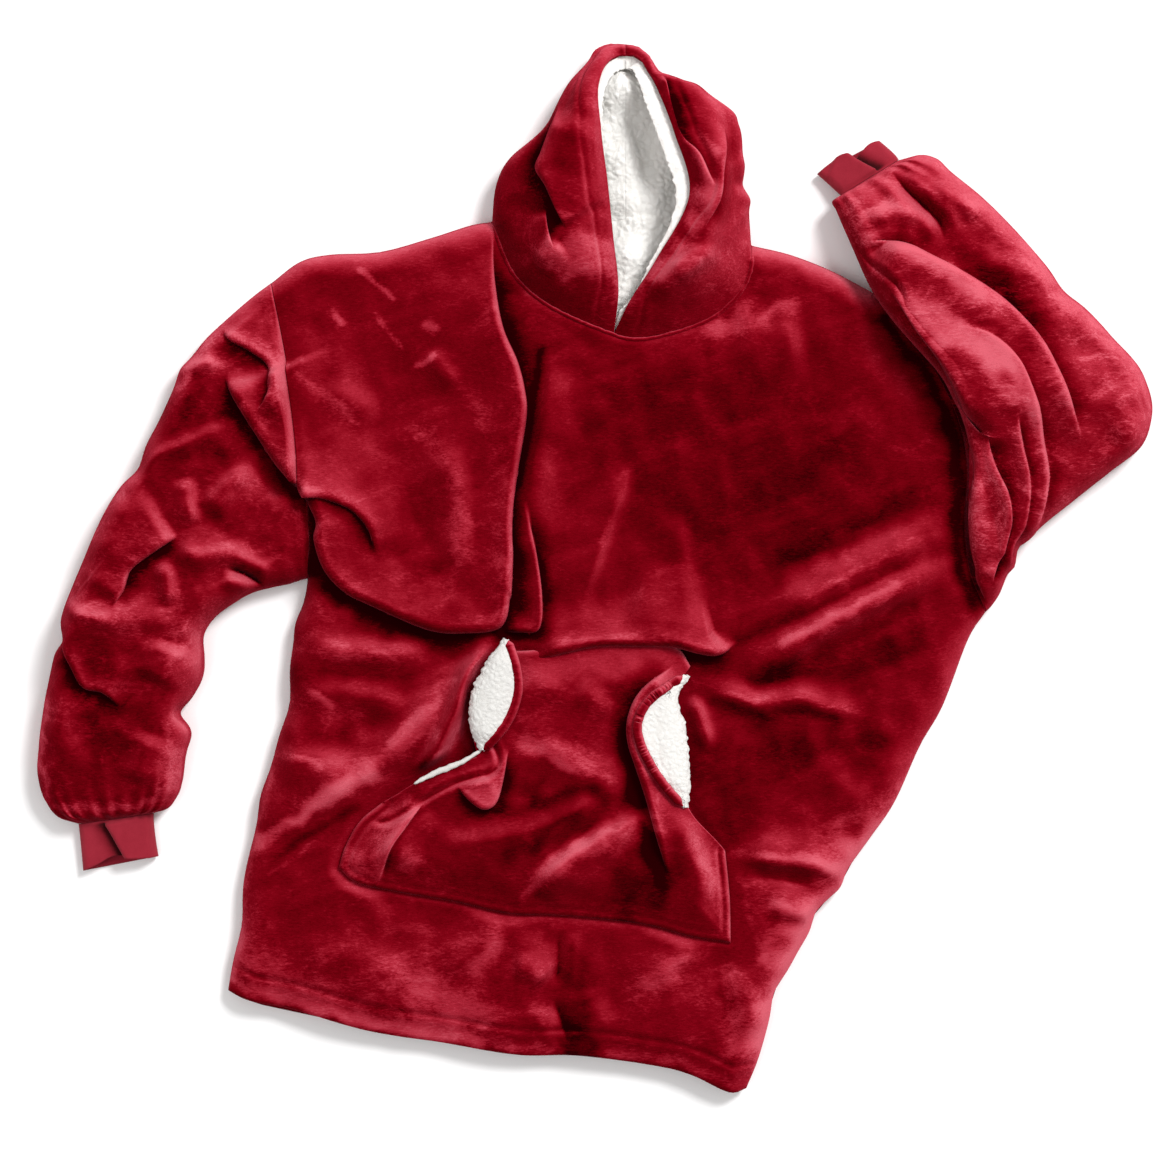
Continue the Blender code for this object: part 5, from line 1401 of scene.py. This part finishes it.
def pocket_grids():
    """Outer and inner layer of the pocket, and the painted highlights and shade of its pile."""
    u = np.linspace(0, 1, POCKET_CELLS_ACROSS + 1)
    v = np.linspace(0, 1, POCKET_CELLS_UP + 1)
    mouth_right = [POCKET_SIDE_RIGHT, POCKET_MOUTH_RIGHT_LOW, POCKET_MOUTH_RIGHT_HIGH]
    right = edge(mouth_right, [0, POCKET_SIDE_ENDS, POCKET_MOUTH_BENDS, 1], v)
    left = edge([POCKET_SIDE_LEFT, POCKET_MOUTH_LEFT], [0, POCKET_SIDE_ENDS, 1], v)
    plan = patch(along(POCKET_BOTTOM, u), along(POCKET_TOP, u), right, left, u, v)
    distance = nearest_of(plan, [POCKET_BOTTOM, POCKET_TOP, POCKET_SIDE_RIGHT, POCKET_SIDE_LEFT])
    lift = smoothstep(distance / POCKET_PUFF_REACH)
    shift, folds, painted_light = shaped(plan, "pocket", 1.0)
    low = FRONT_TOP + SEAM_HALF_GAP + SEAM_GAP
    eased = np.sqrt(lift)
    rise = np.maximum(POCKET_PUFF * lift + (uneven(plan, "pocket") + folds) * eased, 0)
    band = groove(distance_to(plan, POCKET_MOUTH_RIGHT_LOW), *MOUTH_BAND) * smoothstep(lift * 3)
    from_stitched = nearest_of(plan, [POCKET_BOTTOM, POCKET_SIDE_RIGHT, POCKET_SIDE_LEFT])
    trim = band - turned_edge(distance, *POCKET_TURN) + groove(from_stitched, *POCKET_STITCHES)
    plan = plan + shift * eased[..., None]
    return np.dstack([plan, low + WALL + rise + trim]), np.dstack([plan, low + rise]), painted_light * eased


def heights_of(grid, plan):
    """Height of the nearest point of a grid, for each plan point."""
    points = grid.reshape(-1, 3)
    tree = kdtree.KDTree(len(points))
    for i, point in enumerate(points):
        tree.insert((point[0], point[1], 0), i)
    tree.balance()
    flat = plan.reshape(-1, 2)
    found = [points[tree.find((x, y, 0))[1], 2] for x, y in flat]
    return np.array(found).reshape(plan.shape[:-1])


def end_taper(count):
    """Eased from 0 to 1 and back to 0 near the two ends of a line of this many points."""
    start = smoothstep(np.linspace(0, 1, count) / TAPER_SHARE)
    return start * start[::-1]


def roll_grids(fold_points, free_points, low, pocket):
    """The turned-back sherpa edge of a pocket mouth, from under its fold up and over to its free edge:
    its two layers, the height of its curls and its free edge."""
    shares = np.linspace(0, 1, ROLL_CELLS_ALONG + 1)
    fold_line, free_line = along(fold_points, shares), along(free_points, shares)
    back = free_line - fold_line
    width = np.linalg.norm(back, axis=1)
    outward = -back / np.maximum(width, 1e-6)[:, None]
    section = np.array(ROLL_SECTION, float)
    stations = np.linspace(0, 1, ROLL_CELLS_ROUND + 1)
    out, way, up = through(section[:, 1:], section[:, 0], stations).T
    small = np.clip(width / ROLL_FULL_WIDTH, ROLL_LEAST_SIZE, 1)[:, None]
    plan = fold_line[:, None] + (out * small)[..., None] * outward[:, None] + way[:, None] * back[:, None]
    lying = heights_of(pocket, plan) + LINING_WALL / 2 + 1
    designed = low + up * small
    over = smoothstep((stations - 0.3) / 0.2)
    line = np.dstack([plan, designed + over * np.maximum(lying - designed, 0)])
    normals = grid_normals(line)
    normals *= np.sign(normals[len(line) // 2, -8, 2])
    top, under = line + LINING_WALL / 2 * normals, line - LINING_WALL / 2 * normals
    curl = curls(top, MOUTH_CURL_SIZE, MOUTH_CURL_SEED)
    ends = faded(shares, 1, 0.04, 0.04)[:, None]
    fade = ends * faded(stations, 1, 0.1, 0.2)[None, :]
    top = top + (MOUTH_CURL_HEIGHT * (curl - 0.25) * fade)[..., None] * normals
    fluff = uneven(plan, "mouth_fold") * bell((stations - 0.22) / 0.12)
    top[..., :2] += (fluff * ends)[..., None] * outward[:, None]
    return top, under, curl, line[:, -1]


def kept_every(count, step, closed):
    """Indices of every step-th station, with the last one unless the line is closed."""
    kept = list(range(0, count, step))
    if not closed and kept[-1] != count - 1:
        kept.append(count - 1)
    return np.array(kept)


def grid_quads(ids, closed):
    """Quads of a grid of point numbers."""
    wrapped = np.concatenate([ids, ids[:, :1]], axis=1) if closed else ids
    a, b, c, d = wrapped[:-1, :-1], wrapped[:-1, 1:], wrapped[1:, 1:], wrapped[1:, :-1]
    return np.stack([a, b, c, d], axis=-1).reshape(-1, 4).tolist()


def bridge(fine, coarse, kept):
    """Faces between a fine line of points and a coarse one, which follows the fine line's kept points."""
    faces = []
    for m in range(len(coarse) - 1):
        low, high = kept[m], kept[m + 1]
        middle = (low + high) // 2
        for t in range(low, high):
            faces.append([fine[t], fine[t + 1], coarse[m] if t < middle else coarse[m + 1]])
        faces.append([fine[middle], coarse[m + 1], coarse[m]])
    return faces


def placed(name, data):
    """A new object of the scene that holds this data."""
    made = bpy.data.objects.new(name, data)
    bpy.context.scene.collection.objects.link(made)
    return made


def signed_volume(points, mesh):
    mesh.calc_loop_triangles()
    corners = np.empty(len(mesh.loop_triangles) * 3, np.int32)
    mesh.loop_triangles.foreach_get("vertices", corners)
    a, b, c = points[corners.reshape(-1, 3)].transpose(1, 0, 2)
    return (a * np.cross(b, c)).sum() / 6


def closed_mesh(name, points, faces, smooth, material, attributes):
    """A closed mesh of points in millimetres with its faces outward, the first ones smooth. The
    attributes belong to the first points."""
    points = points * MM
    mesh = bpy.data.meshes.new(name)
    mesh.from_pydata(points.tolist(), [], faces)
    for key, values in attributes.items():
        full = np.zeros(len(points), np.float32)
        full[: values.size] = values.reshape(-1)
        mesh.attributes.new(key, "FLOAT", "POINT").data.foreach_set("value", full)
    mesh.update()
    if signed_volume(points, mesh) < 0:
        mesh.flip_normals()
    mesh.polygons.foreach_set("use_smooth", [i < smooth for i in range(len(mesh.polygons))])
    mesh.materials.append(material)
    return placed(name, mesh)


def wall_mesh(name, outer, inner, material, closed=False, step=4, **attributes):
    """A closed wall: a fine outer grid and a coarser inner one, joined round their edges by flat faces."""
    rows, columns = outer.shape[:2]
    keep_rows, keep_columns = kept_every(rows, step, False), kept_every(columns, step, closed)
    coarse = inner[np.ix_(keep_rows, keep_columns)]
    count = rows * columns
    fine_ids = np.arange(count).reshape(rows, columns)
    coarse_ids = count + np.arange(coarse.shape[0] * coarse.shape[1]).reshape(coarse.shape[:2])
    faces = grid_quads(fine_ids, closed) + [quad[::-1] for quad in grid_quads(coarse_ids, closed)]
    smooth = len(faces)
    for row in (0, -1):
        fine, rough, kept = fine_ids[row], coarse_ids[row], keep_columns
        if closed:
            fine, rough = np.append(fine, fine[0]), np.append(rough, rough[0])
            kept = np.append(kept, columns)
        made = bridge(fine, rough, kept)
        faces += [face[::-1] for face in made] if row == 0 else made
    if not closed:
        for column in (0, -1):
            made = bridge(fine_ids[:, column], coarse_ids[:, column], keep_rows)
            faces += made if column == 0 else [face[::-1] for face in made]
    points = np.vstack([outer.reshape(-1, 3), coarse.reshape(-1, 3)])
    return closed_mesh(name, points, faces, smooth, material, attributes)


def tube_mesh(name, line, radii, material, sides, wobble, seed):
    """A closed round tube with rounded ends along a line of points, in millimetres."""
    line = np.asarray(line, float)
    tangent = np.gradient(line, axis=0)
    tangent /= np.linalg.norm(tangent, axis=1, keepdims=True)
    flat = np.cross(tangent, (0, 0, 1))
    flat /= np.linalg.norm(flat, axis=1, keepdims=True)
    up = np.cross(flat, tangent)
    angles = np.linspace(0, 2 * np.pi, sides, endpoint=False)[None, :, None]
    spokes = np.cos(angles) * flat[:, None] + np.sin(angles) * up[:, None]
    points = line[:, None] + np.asarray(radii)[:, None, None] * spokes
    waves = undulation(points[..., :2], 9, seed) + undulation(points[..., 1:], 7, seed + 1)
    points += wobble * waves[..., None] * spokes
    count = len(line) * sides
    ids = np.arange(count).reshape(len(line), sides)
    faces = grid_quads(ids, True)
    for row, tip in ((0, count), (-1, count + 1)):
        ring = ids[row].tolist()
        for a, b in zip(ring, ring[1:] + ring[:1]):
            faces.append([a, tip, b] if row == 0 else [a, b, tip])
    points = np.vstack([points.reshape(-1, 3), line[:1], line[-1:]])
    return closed_mesh(name, points, faces, len(faces), material, {})


class Nodes:
    """Short calls that add and join the nodes of one material."""

    def __init__(self, name):
        self.material = bpy.data.materials.new(name)
        self.material.use_nodes = True
        self.tree = self.material.node_tree
        self.shader = self.tree.nodes["Principled BSDF"]

    def add(self, kind, settings=None, **inputs):
        node = self.tree.nodes.new(kind)
        for key, value in (settings or {}).items():
            setattr(node, key, value)
        for key, value in inputs.items():
            self.feed(node.inputs[key.replace("_", " ")], value)
        return node

    def feed(self, socket, value):
        if isinstance(value, bpy.types.NodeSocket):
            self.tree.links.new(value, socket)
        else:
            socket.default_value = value

    def place(self):
        """The place on the object, in metres."""
        return self.add("ShaderNodeTexCoord").outputs["Object"]

    def math(self, operation, first, second=0.0, third=0.0):
        node = self.add("ShaderNodeMath", {"operation": operation})
        for socket, value in zip(node.inputs, (first, second, third)):
            self.feed(socket, value)
        return node.outputs[0]

    def add_up(self, level, *terms):
        """The level, plus each term's value times its gain."""
        for value, gain in terms:
            level = self.math("MULTIPLY_ADD", value, gain, level)
        return level

    def swing(self, value):
        """A value about 0.5, as what it is above or below that."""
        return self.math("SUBTRACT", value, 0.5)

    def step(self, value, low, high):
        """Eased from 0 at low to 1 at high, which may be the smaller of the two."""
        ends = {"From_Min": min(low, high), "From_Max": max(low, high)}
        ends["To_Min"], ends["To_Max"] = (0.0, 1.0) if low < high else (1.0, 0.0)
        node = self.add("ShaderNodeMapRange", {"interpolation_type": "SMOOTHSTEP"}, Value=value, **ends)
        return node.outputs[0]

    def noise(self, place, scale, detail=3.0, roughness=0.55, distortion=0.0):
        node = self.add(
            "ShaderNodeTexNoise", Vector=place, Scale=scale, Detail=detail,
            Roughness=roughness, Distortion=distortion,
        )
        return node.outputs["Fac"]

    def stretched(self, place, angle, along_scale, across_scale):
        """The place turned about Z and scaled, so that a texture is drawn out along a direction."""
        node = self.add("ShaderNodeMapping", Vector=place)
        node.inputs["Rotation"].default_value = (0, 0, angle)
        node.inputs["Scale"].default_value = (along_scale, across_scale, across_scale)
        return node.outputs[0]

    def ramp(self, value, stops, lightness=1.0):
        node = self.add("ShaderNodeValToRGB", Fac=value)
        elements = node.color_ramp.elements
        while len(elements) < len(stops):
            elements.new(0.5)
        for element, (position, colour) in zip(elements, stops):
            element.position = position
            element.color = (*(lightness * c for c in colour), 1)
        return node.outputs["Color"]

    def attribute(self, name):
        return self.add("ShaderNodeAttribute", {"attribute_name": name}).outputs["Fac"]

    def constants(self, **values):
        """Values of the shader that are the same all over the surface."""
        for key, value in values.items():
            self.shader.inputs[key.replace("_", " ")].default_value = value

    def surface(self, colour, height, strength, distance):
        """Join the colour and a bump of this height to the shader."""
        bump = self.add("ShaderNodeBump", Height=height, Strength=strength, Distance=distance)
        self.feed(self.shader.inputs["Base Color"], colour)
        self.feed(self.shader.inputs["Normal"], bump.outputs[0])
        return self.material


def plush_material(name, nap_angle, lighter, painted_slope_light, mottle):
    """Short velvety pile: brushed patches, a fine grain along the pile's lie, and painted light: lighter
    steep slopes, lighter slopes facing the key lamp, darker upright walls.
    """
    nodes = Nodes(name)
    place = nodes.place()
    broad = nodes.noise(place, 6.0, 3.0, 0.6, 0.8)
    patches = nodes.noise(nodes.stretched(place, nap_angle, 15.0, 26.0), 1.0, 6.0, 0.66, 1.6)
    streaks = nodes.noise(nodes.stretched(place, nap_angle + 0.35, 150.0, 560.0), 1.0, 3.0, 0.75, 0.6)
    grain = nodes.noise(place, 760.0, 3.0, 0.75)
    ragged = nodes.add_up(patches, (nodes.swing(streaks), 0.7))
    crushed = nodes.step(ragged, 0.5, 0.74)
    hollowed = nodes.step(ragged, 0.46, 0.26)
    # Painted light from the slope of the surface: painted sheen on steep slopes, lighter slopes facing the
    # key lamp, and painted shade on upright walls
    normal = nodes.add("ShaderNodeNewGeometry").outputs["Normal"]
    parts = nodes.add("ShaderNodeSeparateXYZ", Vector=normal)
    facing = nodes.math("MULTIPLY", parts.outputs["Z"], parts.outputs["Z"])
    painted_steep_sheen = nodes.math("SQRT", nodes.math("SUBTRACT", 1.0, nodes.math("MINIMUM", facing, 1.0)))
    upright = nodes.step(facing, 0.16, 0.0)
    painted_key_light = nodes.add_up(
        nodes.math("MULTIPLY", parts.outputs["Y"], 0.42 * painted_slope_light), (parts.outputs["X"], 0.24 * painted_slope_light)
    )
    painted_key_light = nodes.math("MULTIPLY", painted_key_light, nodes.add_up(1.0, (upright, -0.7)))
    # Brushed patches and painted highlights lighten the pile; pressed pile, darker brushing and painted shade
    # darken it
    nap = nodes.attribute("nap")
    broken = nodes.add_up(nap, (nodes.swing(ragged), 1.3))
    lifted = nodes.math("MULTIPLY", nodes.step(broken, 0.1, 0.75), nodes.math("MAXIMUM", nap, 0.0))
    pressed_and_painted_shade = nodes.math("MINIMUM", nap, 0.0)
    level = nodes.add_up(
        PLUSH_LEVEL + lighter,
        (painted_steep_sheen, 0.34 * painted_slope_light),
        (painted_key_light, 1.0),
        (upright, -0.14),
        (nodes.swing(broad), 0.14),
        (crushed, 0.09 * mottle),
        (hollowed, -0.04 * mottle),
        (nodes.swing(streaks), 0.26),
        (nodes.swing(grain), 0.17),
        (lifted, 0.42),
        (pressed_and_painted_shade, 0.4),
    )
    nodes.constants(
        Roughness=0.7, Specular_IOR_Level=0.0, Sheen_Weight=0.25, Sheen_Roughness=0.3,
        Sheen_Tint=(1.0, 0.16, 0.24, 1),
    )
    height = nodes.add_up(nodes.math("MULTIPLY", grain, 0.5), (streaks, 0.7), (patches, 0.8))
    return nodes.surface(nodes.ramp(level, PLUSH_STOPS), height, 0.5, 0.0024)


def sherpa_material(name, lightness):
    """Off-white curly pile, with painted shade deep between its curls."""
    nodes = Nodes(name)
    place = nodes.place()
    fibres = nodes.noise(place, 620.0, 4.0, 0.7, 1.5)
    tufts = nodes.noise(place, 150.0, 3.0, 0.6, 0.6)
    # The curls' height sets the painted shade, greyer deep between the curls
    level = nodes.add_up(SHERPA_LEVEL, (nodes.attribute("curl"), 0.4), (tufts, 0.3), (fibres, 0.2))
    nodes.constants(Roughness=0.95, Specular_IOR_Level=0.1, Sheen_Weight=0.25, Sheen_Roughness=0.5)
    height = nodes.add_up(tufts, (fibres, 0.5))
    return nodes.surface(nodes.ramp(level, SHERPA_STOPS, lightness), height, 0.7, 0.0016)


def jersey_material(name, rib_angle):
    """Matt knitted jersey with fine ribs, with painted shade inside the cuff and beside its lap."""
    nodes = Nodes(name)
    place = nodes.place()
    ribs = nodes.add(
        "ShaderNodeTexWave", {"wave_profile": "SIN"}, Vector=nodes.stretched(place, rib_angle, 1.0, 0.0),
        Scale=260.0, Distortion=0.4,
    ).outputs["Fac"]
    yarn = nodes.noise(place, 1500.0, 2.0, 0.6)
    broad = nodes.noise(place, 26.0, 3.0, 0.6)
    # Painted shade inside the cuff and in the crease beside its lap darkens the knit
    painted_light = nodes.math("MINIMUM", nodes.attribute("nap"), 0.0)
    level = nodes.add_up(nodes.math("MULTIPLY", yarn, 0.4), (ribs, 0.2), (broad, 0.5), (painted_light, 0.7))
    nodes.constants(Roughness=0.88, Specular_IOR_Level=0.05, Sheen_Weight=0.08)
    return nodes.surface(nodes.ramp(level, JERSEY_STOPS), nodes.add_up(ribs, (yarn, 0.5)), 0.35, 0.0006)


def add_stage():
    """Floor, lights and camera."""
    scene = bpy.context.scene
    pale = Nodes("pale_floor")
    pale.constants(Base_Color=(0.97, 0.97, 0.97, 1), Roughness=0.9, Specular_IOR_Level=0.1)
    mesh = bpy.data.meshes.new("floor")
    corners = [(-1, -1), (1, -1), (1, 1), (-1, 1)]
    points = [(FLOOR_HALF_M * x, FLOOR_HALF_M * y, FLOOR_Z_M) for x, y in corners]
    mesh.from_pydata(points, [], [(0, 1, 2, 3)])
    mesh.materials.append(pale.material)
    floor = placed("floor", mesh)

    world = bpy.data.worlds.new("studio")
    world.use_nodes = True
    background = world.node_tree.nodes["Background"]
    background.inputs["Color"].default_value = (1.0, 0.99, 0.985, 1)
    background.inputs["Strength"].default_value = 0.58
    scene.world = world

    for name, place, power, size in LAMPS:
        light = bpy.data.lights.new(name, "AREA")
        light.energy = power
        light.size = size
        lamp = placed(name, light)
        lamp.location = place
        lamp.rotation_mode = "QUATERNION"
        lamp.rotation_quaternion = (-Vector(place)).to_track_quat("-Z", "Y")

    camera = bpy.data.cameras.new("camera")
    camera.sensor_width = SENSOR_MM
    camera.lens = SENSOR_MM * (CAMERA_HEIGHT_M - SEAM_HEIGHT * MM) / IMAGE_WIDTH_M
    scene.camera = placed("camera", camera)
    scene.camera.location = (*CAMERA_AIM_M, CAMERA_HEIGHT_M)
    scene.view_settings.view_transform = "Standard"


def add_piece(piece, node=None):
    """Fixes a piece to the garment, in the CAD node's place if it stands for one."""
    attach(piece, "root")
    if node:
        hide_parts(node)
    return piece


def plush_piece(name, node, grids, material, area, closed=False):
    """A piece of plush whose pile carries its brushed patches and the painted highlights and shade of its
    laps, folds and patches.
    """
    outer, inner, painted_light = grids
    nap = painted_light + brushing_and_painted_light(outer, area)
    return add_piece(wall_mesh(name, outer, inner, material, closed, nap=nap), node)


def add_body(plush, jersey):
    """Front and back, sleeves and cuffs, and the front's and back's grids."""
    front, back = front_grids(), back_grids()
    made = {"front": plush_piece("front_plush", "front_panel", front, plush["body"], "body")}
    made["back"] = add_piece(wall_mesh("back_plush", *back, plush["body"], step=2), "back_panel")
    sleeves = {}
    for half, column, rings, gathers in SLEEVES:
        shift = np.array([SIDE[half] * SEAM_GAP, 0, 0])
        area = f"sleeve_{half}"
        sleeves[half] = sleeve_grids(front, back, column, shift, rings, area, gathers)
        cloth = plush[f"{half}_sleeve"]
        made[f"{half}_sleeve"] = plush_piece(f"{half}_sleeve_plush", area, sleeves[half], cloth, area, True)
    for half, away, *tables in CUFFS:
        outer, inner, painted_light = cuff_grids(sleeves[half], tables[0], SEAM_GAP * np.array(away), *tables[1:])
        cuff = wall_mesh(f"{half}_cuff_jersey", outer, inner, jersey, True, 2, nap=painted_light)
        made[f"{half}_cuff"] = add_piece(cuff, f"cuff_{half}")
    return made, front, back


def add_hood(front, back, plush, sherpa):
    """Both halves of the hood with their linings, and the seam round the neck."""
    made = {}
    for half, sections, turns in HOOD_HALVES:
        grids = hood_outer_grids(front, back, half, sections)
        made[f"{half}_hood"] = plush_piece(f"{half}_hood_plush", f"hood_{half}", grids, plush, "hood")
        seen, hidden, curl = lining_grids(front, back, half, sections, turns)
        lining = wall_mesh(f"{half}_hood_sherpa", seen, hidden, sherpa, curl=curl)
        made[f"{half}_hood_lining"] = add_piece(lining, f"hood_lining_{half}")
    line = neck_edge(front[0])
    radii = NECK_SEAM_END_RADIUS + NECK_SEAM_RADIUS * end_taper(len(line))
    neck_seam = tube_mesh("neck_seam", line - (0, 0, NECK_SEAM_SUNK), radii, plush, *NECK_SEAM_TUBE)
    return made, add_piece(neck_seam)


def add_pocket(plush, sherpa):
    """The pocket, the turned-back edges of its mouths, and the trims that each edge carries."""
    pocket = pocket_grids()
    made = {"pocket": plush_piece("pocket_plush", "pocket", pocket, plush, "pocket")}
    top, low, curl = neck_facing_grids()
    made["neck_facing"] = add_piece(wall_mesh("neck_sherpa", top, low, sherpa["pile"], curl=curl))
    mouth_low = FRONT_TOP + SEAM_GAP + WALL + POCKET_PUFF
    shares = np.linspace(0, 1, LOW_EDGE_STATIONS)
    line = np.column_stack([along(LOW_EDGE, shares), np.full(len(shares), mouth_low + LOW_EDGE_RISE)])
    radii = LOW_EDGE_END_RADIUS + LOW_EDGE_RADIUS * np.sin(np.pi * shares) ** 0.5
    peeping = tube_mesh("right_mouth_edge", line, radii, sherpa["right_mouth"], *LOW_EDGE_TUBE)
    trims = {"right": [add_piece(peeping)], "left": []}
    for half, fold_points, free_points in MOUTHS:
        top, low, curl, free_edge = roll_grids(fold_points, free_points, mouth_low, pocket[0])
        roll = wall_mesh(f"{half}_mouth_sherpa", top, low, sherpa[f"{half}_mouth"], curl=curl)
        made[f"{half}_roll"] = add_piece(roll, f"pocket_lining_{half}")
        radii = BINDING_END_RADIUS + (BINDING_RADIUS - BINDING_END_RADIUS) * end_taper(len(free_edge))
        raised = free_edge + (0, 0, BINDING_RISE)
        binding = tube_mesh(f"{half}_mouth_binding", raised, radii, plush, *BINDING_TUBE)
        trims[half].insert(0, add_piece(binding))
    return made, trims


def build():
    """Every visible piece of the hoodie."""
    plush = {name: plush_material(f"plush_{name}", *looks) for name, looks in PLUSH_LOOKS.items()}
    sherpa = {name: sherpa_material(f"sherpa_{name}", light) for name, light in SHERPA_SHADED_COPIES.items()}
    jersey = jersey_material("jersey_knit", RIB_ANGLE)
    made, front, back = add_body(plush, jersey)
    hood, neck_seam = add_hood(front, back, plush["hood"], sherpa["pile"])
    pocket, trims = add_pocket(plush["body"], sherpa)
    made.update(hood)
    made.update(pocket)


for thing in list(bpy.data.objects):
    bpy.data.objects.remove(thing)
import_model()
add_stage()
build()
